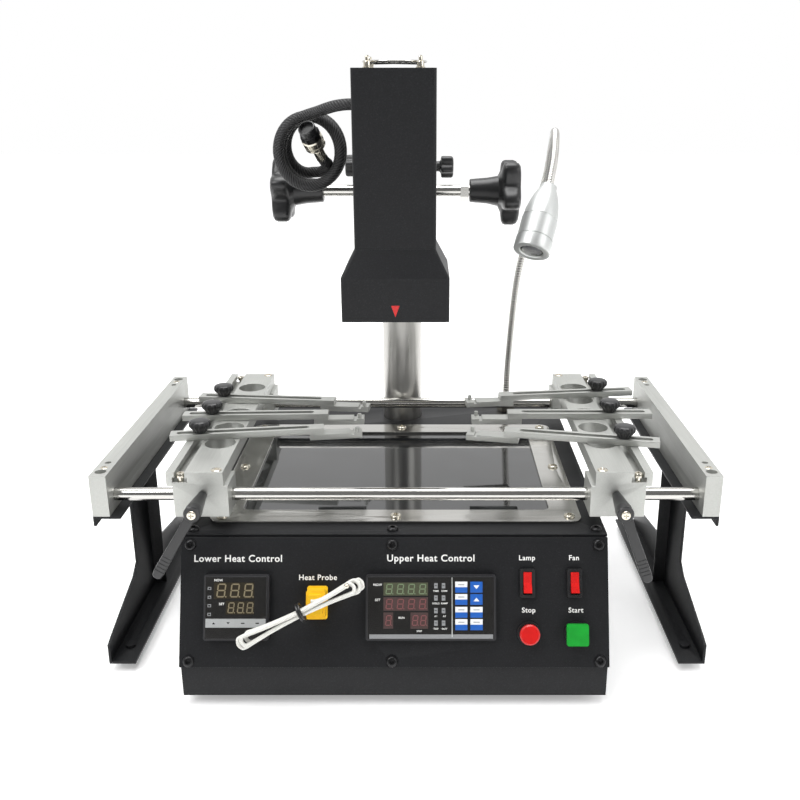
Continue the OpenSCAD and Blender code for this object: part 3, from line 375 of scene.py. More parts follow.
def absorb(bm, mesh):
    """Adds a mesh to a bmesh and removes it."""
    bm.from_mesh(mesh)
    bpy.data.meshes.remove(mesh)


def merge(bm, part, place):
    """Adds one bmesh to another and frees it."""
    part.transform(place)
    absorb(bm, to_mesh("part", part))


def to_piece(name, bm, key, body, replaces=(), angle=35):
    """Finishes a bmesh as an object at the origin that rides on a CAD body."""
    bmesh.ops.remove_doubles(bm, verts=bm.verts, dist=1e-7)
    bmesh.ops.recalc_face_normals(bm, faces=bm.faces)
    return mesh_piece(name, to_mesh(name, bm), key, body, replaces, angle)


def mesh_piece(name, mesh, key, body, replaces, angle):
    """Makes a mesh an object that rides on a CAD body and stands for some CAD nodes."""
    mesh.polygons.foreach_set("use_smooth", [True] * len(mesh.polygons))
    mesh.set_sharp_from_angle(angle=math.radians(angle))
    obj = bpy.data.objects.new(name, mesh)
    bpy.context.scene.collection.objects.link(obj)
    paint(obj, key)
    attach(obj, body)
    if replaces:
        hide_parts(*replaces)
    return obj


def skin(bm, rings, closed=False):
    """Joins rings of points by faces; the ends are capped unless the last ring meets the first."""
    faces = []
    for low, high in zip(rings, rings[1:] + rings[:1] * closed):
        for i in range(len(low)):
            j = (i + 1) % len(low)
            faces.append(bm.faces.new((low[i], low[j], high[j], high[i])))
    if not closed:
        bm.faces.new(rings[0][::-1])
        bm.faces.new(rings[-1])
    return faces


def add_box(bm, low, high, place, soft=0.0):
    """A block between two corners, with its edges softened."""
    low, high = Vector(low) * MM, Vector(high) * MM
    part = bmesh.new()
    bmesh.ops.create_cube(part, size=1)
    part.transform(Matrix.Translation((low + high) / 2) @ Matrix.Diagonal((*(high - low), 1)))
    if soft:
        bmesh.ops.bevel(part, geom=part.edges[:], offset=soft * MM, segments=2, profile=0.7,
                        affect="EDGES", clamp_overlap=True)
    merge(bm, part, place)


def add_prism(bm, outline, low, high, place=Matrix()):
    """Extrudes a flat outline between two heights."""
    part = bmesh.new()
    skin(part, [[part.verts.new((x * MM, y * MM, z * MM)) for x, y in outline] for z in (low, high)])
    merge(bm, part, place)


def add_lathe(bm, profile, place=Matrix(), steps=40, lobes=0):
    """Turns (radius, height, wave) points about Z; the wave of a ring is its share of lobes."""
    part = bmesh.new()
    rings = []
    for r, z, *wave in profile:
        share = wave[0] if wave else 0
        ring = []
        for i in range(steps):
            a = math.tau * i / steps
            swing = r * MM * (1 - share + share * math.cos(lobes * a))
            ring.append(part.verts.new((swing * math.cos(a), swing * math.sin(a), z * MM)))
        rings.append(ring)
    skin(part, rings)
    merge(bm, part, place)


def turned(name, profile, key, body, replaces, place, steps=40, lobes=0):
    """A piece turned from one profile."""
    bm = bmesh.new()
    add_lathe(bm, profile, place, steps, lobes)
    return to_piece(name, bm, key, body, replaces)


def add_ring(bm, radius, wire, place, steps, sides=10):
    """A closed ring of round wire about Z."""
    part = bmesh.new()
    rings = []
    for i in range(steps):
        a = math.tau * i / steps
        out = Vector((math.cos(a), math.sin(a), 0))
        rings.append([part.verts.new((out * (radius + wire * math.cos(b)) + UP * wire * math.sin(b)) * MM)
                      for b in (math.tau * k / sides for k in range(sides))])
    skin(part, rings, closed=True)
    merge(bm, part, place)


def smooth_path(points, steps):
    """Catmull-Rom curve through given points."""
    points = [Vector(p) for p in points]
    line = []
    for i in range(len(points) - 1):
        a, b = points[max(i - 1, 0)], points[i]
        c, d = points[i + 1], points[min(i + 2, len(points) - 1)]
        for k in range(steps):
            t = k / steps
            line.append(0.5 * (2 * b + (c - a) * t + (2 * a - 5 * b + 4 * c - d) * t * t
                               + (3 * b - a - 3 * c + d) * t ** 3))
    return line + [points[-1]]


def tube_mesh(name, line, radius, sides):
    """Tube of a radius in metres along a line, and its length; its UV map has U in metres along the
    tube and V once round it."""
    bm = bmesh.new()
    uv = bm.loops.layers.uv.new("along")
    side = None
    rings, run = [], [0.0]
    for i, p in enumerate(line):
        ahead = (line[min(i + 1, len(line) - 1)] - line[max(i - 1, 0)]).normalized()
        if side is None:
            side = ahead.orthogonal().normalized()
        side = (side - ahead * side.dot(ahead)).normalized()
        up = ahead.cross(side)
        rings.append([bm.verts.new(p + radius * (math.cos(a) * side + math.sin(a) * up))
                      for a in (math.tau * k / sides for k in range(sides))])
        if i:
            run.append(run[-1] + (p - line[i - 1]).length)
    for n, face in enumerate(skin(bm, rings)):
        i, k = divmod(n, sides)
        for loop, (step, turn) in zip(face.loops, ((0, 0), (0, 1), (1, 1), (1, 0))):
            loop[uv].uv = (run[i + step], (k + turn) / sides)
    bmesh.ops.recalc_face_normals(bm, faces=bm.faces)
    return to_mesh(name, bm), run[-1]


def node_copy(node, key, width):
    """A copy of a CAD node with its sharp edges broken, in the node's place."""
    flat, sharp = math.radians(0.5), math.radians(28)
    bm = bmesh.new()
    bm.from_mesh(NODES[node].data)
    bmesh.ops.remove_doubles(bm, verts=bm.verts, dist=1e-6)
    bmesh.ops.dissolve_limit(bm, angle_limit=flat, verts=bm.verts, edges=bm.edges)
    edges = [e for e in bm.edges if len(e.link_faces) == 2 and e.calc_face_angle() > sharp]
    bmesh.ops.bevel(bm, geom=edges, offset=width, segments=2, profile=0.6, affect="EDGES",
                    clamp_overlap=False)
    name = f"{node}_finish"
    return mesh_piece(name, to_mesh(name, bm), key, BODY_OF[node], (node,), angle=25)


def in_base(x, y, z):
    """A point given in millimetres from the middle of the base front, in the part's axes."""
    low, high = box("top_deck")
    return Vector(((low.x + high.x) / 2 + x * MM, high.y + (y - BASE_DEPTH) * MM, z * MM))


def on_panel(x, up, out):
    """A point given in millimetres across, up the slope of and out from the panel's back face."""
    return PANEL @ Vector((x * MM, up * MM, out * MM))


def aim(foot, tip):
    """Matrix at foot whose Z points to tip."""
    turn = (tip - foot).to_track_quat("Z", "Y").to_matrix().to_4x4()
    return Matrix.Translation(foot) @ turn


def axis_frame(centre, way, start=(0, 0, 1)):
    """Matrix at centre whose Z follows one direction and whose X keeps close to another."""
    z, x = Vector(way).normalized(), Vector(start)
    x = (x - z * x.dot(z)).normalized()
    return Matrix.Translation(centre) @ Matrix((x, z.cross(x), z)).transposed().to_4x4()


class Step:
    """What every step of the dressing shares."""

    bl_options = {"REGISTER"}

    def execute(self, context):
        self.build()
        return {"FINISHED"}


# stage

# name, place, point lit, width in metres, watts
LIGHTS = (
    ("key_light", (-1.3, -1.2, 1.9), (0, 0, 0.25), 1.2, 26),
    ("fill_light", (1.6, -1.0, 1.1), (0, 0, 0.2), 1.4, 11),
    ("top_light", (0.0, 0.2, 2.2), (0, 0, 0.2), 1.8, 46),
)
# grey of the studio, from the side of the camera (0) to the side behind the part (1)
STUDIO = ((0.0, 0.25), (0.32, 0.3), (0.5, 1.0))
CAMERA_PLACE = (0.0142, -0.7655, 0.440)
CAMERA_TILT = math.radians(71.5)
CAMERA_SHIFT = -0.03125
SENSOR = 36


class STATION_OT_stage(Step, bpy.types.Operator):
    """Lays the floor and sets the lights and the camera"""

    bl_idname = "station.stage"
    bl_label = "Stage"

    def build(self):
        scene = bpy.context.scene
        link = scene.collection.objects.link
        bm = bmesh.new()
        bmesh.ops.create_grid(bm, x_segments=1, y_segments=1, size=sizes().floor)
        floor = bpy.data.objects.new("floor", to_mesh("floor", bm))
        link(floor)
        floor.data.materials.append(
            grained("pale_floor", (0.93, 0.93, 0.93), 0.75, 0, 60, 0.01, 0.01, glow=0.32))
        self.studio(scene)
        for name, place, target, size, power in LIGHTS:
            light = bpy.data.lights.new(name, "AREA")
            light.shape = "DISK"
            light.size = size
            light.energy = power
            obj = bpy.data.objects.new(name, light)
            obj.matrix_world = aim(Vector(place), 2 * Vector(place) - Vector(target))
            link(obj)
        lens = bpy.data.cameras.new("photo_camera")
        lens.lens = sizes().lens
        lens.sensor_width = SENSOR
        lens.shift_x = CAMERA_SHIFT
        camera = bpy.data.objects.new("photo_camera", lens)
        camera.location = CAMERA_PLACE
        camera.rotation_euler = (CAMERA_TILT, 0, 0)
        link(camera)
        scene.camera = camera

    def studio(self, scene):
        """White behind the part and grey on the camera's side, for calm reflections."""
        world = bpy.data.worlds.new("soft_studio")
        world.use_nodes = True
        tree = world.node_tree
        back = next(n for n in tree.nodes if n.type == "BACKGROUND")
        sky = add_node(tree, "ShaderNodeTexCoord").outputs["Generated"]
        axes = add_node(tree, "ShaderNodeSeparateXYZ", {"Vector": sky})
        depth = spread(tree, axes.outputs["Y"], 0, 1, -1, 1)
        shade = ramp(tree, depth, *((place, (grey,) * 3) for place, grey in STUDIO))
        set_inputs(tree, back, {"Strength": 1.0, "Color": shade})
        scene.world = world
        scene.view_settings.view_transform = "Standard"


# cords

def cable_line():
    """Centreline of the head cable: out of the box, loosely round and in through the coil to the plug."""
    hub = Vector((-72, 210, 391))
    lead = [(42.25, -38, 37), (34, -37.6, 37), (25.5, -34.5, 36), (17.5, -29, 34), (10, -22.5, 31.5),
            (2.5, -17, 29.3)]
    start, end, count = math.radians(100), math.radians(990), 120
    front, depth, wide, oval = -14.0, 22.0, 26.0, (0.95, 1.06)
    drawn_in, late, uneven, waves = 8.0, 0.7, 0.7, 11
    coil = []
    for i in range(count + 1):
        t = i / count
        a = start + (end - start) * t
        ring = wide - drawn_in * max(0.0, (t - late) / (1 - late)) ** 2 + uneven * math.sin(waves * t)
        coil.append((oval[0] * ring * math.cos(a), front + depth * t, oval[1] * ring * math.sin(a)))
    tail = [(7.5, 7, -17.5), (12.5, 3.5, -13.5), (13.6, -1, -10.5), (12, -5.8, -8.6), (9.3, -12.1, -3.4)]

    def placed(points):
        return [in_base(*(hub + Vector(p))) for p in points]

    return (smooth_path(placed(lead + [coil[0], coil[2]]), 6)[:-6] + placed(coil[1:-1])
            + smooth_path(placed([coil[-3], coil[-1]] + tail), 6)[6:])


class STATION_OT_head_cable(Step, bpy.types.Operator):
    """Runs the braided head cable from the heater box to its plug"""

    bl_idname = "station.head_cable"
    bl_label = "Head cable"

    def build(self):
        line = cable_line()
        mesh, long = tube_mesh("head_cable", line, sizes().cable / 2, 20)
        cable = mesh_piece("head_cable", mesh, "braid", "head", ("head_cable_lead", "head_cable_coil"), 60)
        plug = self.plug(in_base(-62, 200, 385.6), in_base(-70.8, 173, 411))

    def plug(self, foot, tip):
        """The connector's sleeve, nut and nose, between two points."""
        place, end = aim(foot, tip), (tip - foot).length / MM
        sleeve = [(2, 0), (4.1, 0), (4.5, 0.5), (4.5, 11), (4.1, 11.4), (4.5, 12), (7.8, 15.6), (8.6, 16.4),
                  (8.6, 19), (8.1, 19.4), (8.6, 19.8), (8.6, 25), (7.8, 26), (2, 26)]
        nut = [(6, 25.5), (8.3, 26.2), (8.3, 31), (7.4, 32), (2, 32)]
        nose = [(5, 31), (7, 31.5), (7, end - 1), (6.6, end - 0.3), (5.9, end), (5.6, end - 0.4),
                (5.6, end - 3), (1, end - 3)]
        return [turned(name, profile, key, "head", ("head_plug",), place, steps)
                for name, key, steps, profile in (("plug_sleeve", "nickel", 36, sleeve),
                                                  ("plug_nut", "oxide", 8, nut),
                                                  ("plug_nose", "plastic", 36, nose))]


HANK_X, HANK_UP, HANK_OUT = -66.5, 43, 24.5
HANK_LEAN = math.radians(26)


def hank_line():
    """Centreline of the probe lead: from its plug, seven passes up and down a tied hank."""
    sides, half, waist = (3.5, -3.7, 4.6, -4.6, 3.7, -3.5, 3.9), 45.0, 0.35
    first, layer, stagger = -4.0, 1.5, 3
    flat = [(9.5, 4.0, -4.5), (13, 2.5, -4.2)]
    for n, side in enumerate(sides):
        way = math.copysign(1, side)
        reach, deep = half - stagger * (n * 5 % 3), first + layer * n
        for part in (-0.86, -0.5, 0.0, 0.5, 0.86):
            if n or part >= 0.5:
                flat.append((way * part * reach, side * (waist + (1 - waist) * part ** 2), deep))
        if n + 1 < len(sides):
            centre, fold = (side + sides[n + 1]) / 2, abs(side - sides[n + 1]) / 2
            for share in (0.1, 0.3, 0.5, 0.7, 0.9):
                a = math.pi * (0.5 - share)
                flat.append((way * (reach + fold * math.cos(a)), centre + way * fold * math.sin(a),
                             deep + share * layer))
    line = []
    for u, v, w in flat:
        x = HANK_X + u * math.cos(HANK_LEAN) - v * math.sin(HANK_LEAN)
        up = HANK_UP + u * math.sin(HANK_LEAN) + v * math.cos(HANK_LEAN)
        line.append(on_panel(x, up, HANK_OUT + w))
    return smooth_path(line, 8)


class STATION_OT_probe_lead(Step, bpy.types.Operator):
    """Lays the tied hank of the probe lead on its plug"""

    bl_idname = "station.probe_lead"
    bl_label = "Probe lead"

    def build(self):
        line = hank_line()
        mesh, long = tube_mesh("probe_lead", line, sizes().probe / 2, 12)
        lead = mesh_piece("probe_lead", mesh, "fibre", "base", ("sensor_hank",), 60)
        bm = bmesh.new()
        lean = Matrix.Rotation(HANK_LEAN, 4, "Z") @ Matrix.Rotation(math.pi / 2, 4, "Y")
        place = PANEL @ Matrix.Translation(Vector((HANK_X, HANK_UP + 0.6, HANK_OUT + 0.7)) * MM) @ lean
        for shift in (-0.9, 0.9):
            add_ring(bm, 6.2, 0.9, place @ Matrix.Translation((0, 0, shift * MM)), 40, 8)
        tie = to_piece("probe_tie", bm, "plastic", "base")
        bm = bmesh.new()
        bmesh.ops.create_uvsphere(bm, u_segments=16, v_segments=10, radius=1.9 * MM,
                                  matrix=Matrix.Translation(line[-1]))
        bead = to_piece("probe_bead", bm, "nickel", "base")


# lettering and meter faces

# height of a capital in the font, space between letters and thickening of their strokes
CAP_SHARE, LETTER_GAP, LETTER_WEIGHT = 0.73, 1.1, 0.022


def add_words(bm, text, cap, place):
    """Adds thin printed lettering of a height in metres, centred on the place, to a bmesh."""
    curve = bpy.data.curves.new("words", "FONT")
    curve.body = text
    curve.size = cap / CAP_SHARE
    curve.align_x = "CENTER"
    curve.extrude = INK
    curve.space_character = LETTER_GAP
    curve.offset = LETTER_WEIGHT * cap
    curve.resolution_u = 4
    obj = bpy.data.objects.new("words", curve)
    bpy.context.scene.collection.objects.link(obj)
    graph = bpy.context.evaluated_depsgraph_get()
    mesh = bpy.data.meshes.new_from_object(obj.evaluated_get(graph))
    bpy.data.objects.remove(obj)
    bpy.data.curves.remove(curve)
    mesh.transform(place @ Matrix.Translation((0, -cap / 2, 0)))
    absorb(bm, mesh)


class STATION_OT_lettering(Step, bpy.types.Operator):
    """Prints the plain function words beside the controls"""

    bl_idname = "station.lettering"
    bl_label = "Lettering"

    def build(self):
        cap = sizes().letter
        bm = bmesh.new()
        for text, node, up, share in (
                ("Lower Heat Control", "lower_controller", 35.7, 1.0),
                ("Upper Heat Control", "upper_controller", 36, 1.0),
                ("Heat Probe", "sensor_socket", 18.3, 0.78),
                ("Lamp", "light_rocker", 18.2, 0.74),
                ("Fan", "fan_rocker", 18.2, 0.74),
                ("Stop", "stop_button", 17, 0.72),
                ("Start", "start_button", 17, 0.72)):
            low, high = panel_box(node)
            middle = (low + high) / 2
            spot = (middle.x, middle.y + up * MM, SHEET + 0.5 * INK)
            add_words(bm, text, cap * share, PANEL @ Matrix.Translation(spot))
        to_piece("panel_words", bm, "print", "base")


# millimetres: thickness of printed marks, and how far screens, words and keys stand off a meter's front
FILM, SCREEN, WORDS, KEY = 0.05, 0.16, 0.22, 0.55


def add_digit(bm, u, v, w, h, thick, out, place):
    """An unlit seven-segment figure, given by its top left corner, leaning to the right."""
    t, lean = thick / 2, 0.12
    left, right = u + t, u + w - t
    rows = (v + t, v + h / 2, v + h - t)

    def bar(a, b):
        a, b = Vector(a), Vector(b)
        way = (b - a).normalized()
        a, b, side = a + way * 0.3 * t, b - way * 0.3 * t, Vector((-way.y, way.x)) * t
        outline = [a, a + way * t - side, b - way * t - side, b, b - way * t + side, a + way * t + side]
        add_prism(bm, [(p.x + lean * (v + h - p.y), -p.y) for p in outline][::-1], out, out + FILM, place)

    for row in rows:
        bar((left, row), (right, row))
    for column in (left, right):
        bar((column, rows[0]), (column, rows[1]))
        bar((column, rows[1]), (column, rows[2]))
    point = right + t + 0.25
    add_box(bm, (point, -v - h, out), (point + thick, thick - v - h, out + FILM), place)


class Face:
    """Collects the flat layers of a meter's front, in millimetres from its top left corner."""

    def __init__(self, node):
        low, high = panel_box(node)
        self.node = node
        self.front = high.z / MM
        self.place = PANEL @ Matrix.Translation((low.x, high.y, 0))
        self.layers = {}

    def layer(self, name, key):
        return self.layers.setdefault((name, key), bmesh.new())

    def block(self, name, key, u0, v0, u1, v1, rise, deep=0.1, soft=0.0):
        """A plate between two corners, whose face stands off the front by its rise."""
        top = self.front + rise
        add_box(self.layer(name, key), (u0, -v1, top - deep), (u1, -v0, top), self.place, soft)

    def digits(self, name, key, starts, v, w, h, thick):
        for u in starts:
            add_digit(self.layer(name, key), u, v, w, h, thick, self.front + SCREEN, self.place)

    def words(self, text, u, v, cap):
        spot = Matrix.Translation((u * MM, -v * MM, (self.front + WORDS) * MM))
        add_words(self.layer("print", "print"), text, cap * MM, self.place @ spot)

    def arrow(self, name, key, u, v, size, way, rise):
        """A triangle that points up the panel (way 1) or down it (way -1)."""
        rise_half = way * size * 0.6
        outline = [(u - size, -v - rise_half), (u + size, -v - rise_half), (u, rise_half - v)]
        bottom = self.front + rise
        add_prism(self.layer(name, key), outline[::way], bottom, bottom + FILM, self.place)

    def close(self):
        for (name, key), bm in self.layers.items():
            to_piece(f"{self.node}_{name}", bm, key, "base")


class STATION_OT_meters(Step, bpy.types.Operator):
    """Fits the fronts of the two panel meters: windows, unlit digits, lights and keys"""

    bl_idname = "station.meters"
    bl_label = "Meter fronts"

    def build(self):
        self.lower()
        self.upper()

    def lower(self):
        face = Face("lower_controller")
        face.block("front", "window", 1.6, 1.6, 46.4, 46.4, 0.12, 1.3, 0.25)
        face.block("screen", "amber_screen", 7.6, 5.4, 37.4, 17.4, SCREEN)
        face.block("screen", "amber_screen", 16.6, 18.8, 37.4, 28.8, SCREEN)
        face.digits("digits", "amber", (9.4, 19.4, 29.4), 6.2, 6.4, 10.1, 0.95)
        face.digits("digits", "amber", (17.8, 24.7, 31.6), 19.9, 4.6, 7.9, 0.75)
        for v in (9.8, 16.2, 22.3, 28.6):
            face.block("lights", "strip", 3.2, v - 1.1, 5.8, v + 1.1, 0.16, 0.1, 0.04)
            face.block("light_cores", "window", 3.8, v - 0.6, 5.2, v + 0.6, 0.2)
        face.block("key_band", "key_grey", 1.9, 31.8, 46.1, 38.2, 0.2, 0.3, 0.06)
        pitch = 10.7
        for u in (pitch * n for n in range(4)):
            face.block("keys", "key_grey", 3.6 + u, 32.7, 12.2 + u, 37.3, 0.5, 0.4, 0.18)
        face.arrow("key_marks", "window", 7.9, 35, 1.2, 1, 0.5)
        face.arrow("key_marks", "window", 18.6, 35, 1.2, -1, 0.5)
        for u in (28, 28 + pitch):
            face.block("key_marks", "window", u, 34.6, u + 2.6, 35.4, 0.54)
        face.words("NOW", 11, 3.7, 1.7)
        face.words("SET", 13.6, 21, 1.7)
        face.close()

    def upper(self):
        face = Face("upper_controller")
        face.block("front", "window", 1.6, 1.6, 94.4, 46.4, 0.12, 1.3, 0.25)
        face.block("now_screen", "green_screen", 13.1, 5.5, 45.9, 15.0, SCREEN)
        face.block("set_screen", "red_screen", 13.1, 16.2, 45.9, 26.0, SCREEN)
        starts = (14.5, 22.7, 30.8, 39.0)
        face.digits("now_digits", "green_digit", starts, 6.4, 4.8, 7.6, 0.75)
        face.digits("set_digits", "red_digit", starts, 17.3, 4.8, 7.6, 0.75)
        face.block("part_screen", "red_screen", 13.1, 27.2, 20.3, 39, SCREEN)
        face.block("step_screen", "red_screen", 33, 27.2, 46, 39, SCREEN)
        face.digits("set_digits", "red_digit", (14.3, 33.9, 39.9), 29.2, 4.2, 7.6, 0.7)
        for v in (5.9, 14.8, 24.0, 33.0):
            for u in (50.4, 56):
                face.block("lights", "strip", u, v, u + 2.6, v + 3.8, 0.2, 0.1, 0.04)
                face.block("light_bars", "window", u + 0.5, v + 1.5, u + 2.1, v + 1.9, 0.24)
        for words, v in ((("TIME", "COM"), 11.6), (("HOLD", "RAMP"), 20.6), (("A1", "A2"), 29.8),
                         (("TOP", "OUT"), 39)):
            for text, u in zip(words, (51.7, 57.9)):
                face.words(text, u, v, 1.3)
        face.words("NOW", 8.8, 7, 1.7)
        face.words("SET", 8.8, 18, 1.7)
        face.words("RUN", 26.4, 31, 1.5)
        face.words("STEP", 39.5, 40.7, 1.3)
        face.block("divider", "lamp", 63.2, 1.8, 64, 45, 0.24, 0.2, 0.06)
        for v0, v1, arrow in ((4.8, 12.8, -1), (13.8, 21.7, 1), (23.1, 31, 0), (32, 40, 0)):
            for u0, u1 in ((65.9, 74.8), (77, 86)):
                half = (v0 + v1) / 2
                if arrow and u0 > 70:
                    face.block("blue_keys", "blue_key", u0, v0, u1, v1, KEY, 0.5, 0.2)
                    face.arrow("key_arrows", "print", (u0 + u1) / 2, half, 2.2, arrow, KEY)
                else:
                    face.block("white_keys", "white_key", u0, v0, u1, half, KEY, 0.5, 0.12)
                    face.block("blue_keys", "blue_key", u0, half, u1, v1, KEY, 0.5, 0.12)
                    face.block("key_lines", "strip", u0 + 2.2, half - 2.1, u1 - 2.2, half - 1.5, 0.6)
        face.block("name_strip", "strip", 2.8, 43.1, 93.6, 46.2, 0.16, 0.12, 0.03)
        face.close()


# repeated parts, placed by node trees

def new_tree(name, *sockets):
    """A geometry tree with the inputs that every tree here has, further ones, and what its input gives."""
    tree = bpy.data.node_groups.new(name, "GeometryNodeTree")
    face = tree.interface
    for label, kind in (("Geometry", "Geometry"), ("Part", "Object"), ("Finish", "Material"), *sockets):
        face.new_socket(label, in_out="INPUT", socket_type=f"NodeSocket{kind}")
    face.new_socket("Geometry", in_out="OUTPUT", socket_type="NodeSocketGeometry")
    return tree, add_node(tree, "NodeGroupInput").outputs


def put_parts(tree, given, points, rotation):
    """Ends a tree: the part on every point, made real, in its finish."""
    part = add_node(tree, "GeometryNodeObjectInfo", {"Object": given["Part"]})
    put = add_node(tree, "GeometryNodeInstanceOnPoints", {
        "Points": points, "Instance": part.outputs["Geometry"], "Rotation": rotation})
    real = add_node(tree, "GeometryNodeRealizeInstances", {"Geometry": put.outputs["Instances"]})
    finish = add_node(tree, "GeometryNodeSetMaterial", {
        "Geometry": real.outputs["Geometry"], "Material": given["Finish"]})
    add_node(tree, "NodeGroupOutput", {"Geometry": finish.outputs["Geometry"]})
    return tree


def screw_tree():
    """Node tree that puts a small part on every point, turned to the point's facing."""
    tree, given = new_tree("fasteners_on_points", ("Spin", "Float"), ("Seed", "Int"))
    tree.interface.items_tree["Spin"].default_value = math.tau
    tree.interface.items_tree["Seed"].default_value = 7
    facing = add_node(tree, "GeometryNodeInputNamedAttribute", {"Name": "facing"},
                      data_type="FLOAT_VECTOR")
    align = add_node(tree, "FunctionNodeAlignRotationToVector", {"Vector": facing.outputs["Attribute"]},
                     axis="Z")
    chance = add_node(tree, "FunctionNodeRandomValue", {"Max": given["Spin"], "Seed": given["Seed"]},
                      data_type="FLOAT")
    about = add_node(tree, "ShaderNodeCombineXYZ", {"Z": chance.outputs["Value"]})
    twist = add_node(tree, "FunctionNodeEulerToRotation", {"Euler": about.outputs["Vector"]})
    turn = add_node(tree, "FunctionNodeRotateRotation", {
        "Rotation": align.outputs["Rotation"], "Rotate By": twist.outputs["Rotation"]},
        rotation_space="LOCAL")
    return put_parts(tree, given, given["Geometry"], turn.outputs["Rotation"])


def neck_tree():
    """Node tree that threads ribs on a line at an even pitch."""
    tree, given = new_tree("ribs_on_line", ("Pitch", "Float"))
    line = add_node(tree, "GeometryNodeMeshToCurve", {"Mesh": given["Geometry"]})
    points = add_node(tree, "GeometryNodeCurveToPoints", {
        "Curve": line.outputs["Curve"], "Length": given["Pitch"]}, mode="LENGTH")
    return put_parts(tree, given, points.outputs["Points"], points.outputs["Rotation"])


def repeated(name, mesh, part, tree, key, body, replaces, angle=35, **values):
    """One piece that a node tree makes of a mesh and a small part."""
    bmesh.ops.recalc_face_normals(part, faces=part.faces)
    one = bpy.data.objects.new("small_part", to_mesh("small_part", part))
    many = bpy.data.objects.new(name, mesh)
    for obj in (one, many):
        bpy.context.scene.collection.objects.link(obj)
    modifier = many.modifiers.new(tree.name, "NODES")
    modifier.node_group = tree
    values.update(Part=one, Finish=MATS[key])
    for socket in tree.interface.items_tree:
        if socket.in_out == "INPUT" and socket.name in values:
            modifier[socket.identifier] = values[socket.name]
    bpy.context.view_layer.update()
    graph = bpy.context.evaluated_depsgraph_get()
    made = bpy.data.meshes.new_from_object(many.evaluated_get(graph))
    for obj in (many, one):
        data = obj.data
        bpy.data.objects.remove(obj)
        bpy.data.meshes.remove(data)
    if not made.polygons:
        raise RuntimeError(f"{name} came out empty")
    return mesh_piece(name, made, key, body, replaces, angle)


def scatter(name, spots, part, key, body, replaces=()):
    """One piece made of a small part on every (place, facing) spot."""
    mesh = bpy.data.meshes.new(name)
    mesh.from_pydata([tuple(place) for place, _ in spots], [], [])
    facing = mesh.attributes.new("facing", "FLOAT_VECTOR", "POINT")
    for entry, (_, way) in zip(facing.data, spots):
        entry.vector = way
    tree = bpy.data.node_groups.get("fasteners_on_points") or screw_tree()
    return repeated(name, mesh, part, tree, key, body, replaces)


def button_head(radius, height, socket):
    """Domed screw head with a sunk star socket."""
    bm = bmesh.new()
    add_lathe(bm, [(radius, 0), (radius, height * 0.25), (radius * 0.93, height * 0.6),
                   (radius * 0.74, height * 0.9), (radius * 0.56, height), (socket, height),
                   (socket * 0.96, height * 0.35, 0.1), (socket * 0.3, height * 0.3, 0.1)], steps=36, lobes=6)
    return bm


def cross_head(radius, height):
    """Pan head with a cross recess."""
    bm = bmesh.new()
    add_lathe(bm, [(radius, 0), (radius, height * 0.45), (radius * 0.9, height * 0.8),
                   (radius * 0.68, height), (radius * 0.6, height, 0.36), (radius * 0.5, height * 0.5, 0.4),
                   (radius * 0.1, height * 0.4, 0.3)], lobes=4)
    return bm


class STATION_OT_screws(Step, bpy.types.Operator):
    """Sets the heads of the sheet and frame screws"""

    bl_idname = "station.screws"
    bl_label = "Screws"

    def build(self):
        out = PANEL.to_3x3() @ UP
        low, high = panel_box("front_panel")
        inset, foot, head, off_middle, deck_edge = 7 * MM, 4.5 * MM, 6 * MM, -1.8 * MM, 8 * MM
        half = (high.x - low.x) / 2 - inset
        across = (-half, off_middle, half)
        rows = (foot, high.y - low.y - head)
        sheet = [(PANEL @ Vector((x, row, SHEET)), out) for x in across for row in rows]
        low, high = box("top_deck")
        centre = (low.x + high.x) / 2
        sheet += [(Vector((centre + x, low.y + deck_edge, high.z)), UP) for x in across]
        scatter("sheet_screw_heads", sheet, button_head(4.25, 2.4, 1.8), "oxide", "base", ("base_screws",))
        low, high = box("heater_frame")
        middle, inset = (low + high) / 2, 9 * MM
        reach = high - middle - Vector((inset, inset, 0))
        steel = [(Vector((middle.x + i * reach.x, middle.y + j * reach.y, high.z)), UP)
                 for i in (-1, 0, 1) for j in (-1, 0, 1) if i or j]
        scatter("frame_screw_heads", steel, cross_head(4.25, 1.8), "nickel", "base", ("base_screws",))


# hand knobs, levers and thumb screws

SIDES = ((-1, "left"), (1, "right"))
ROWS = ("front", "middle", "rear")


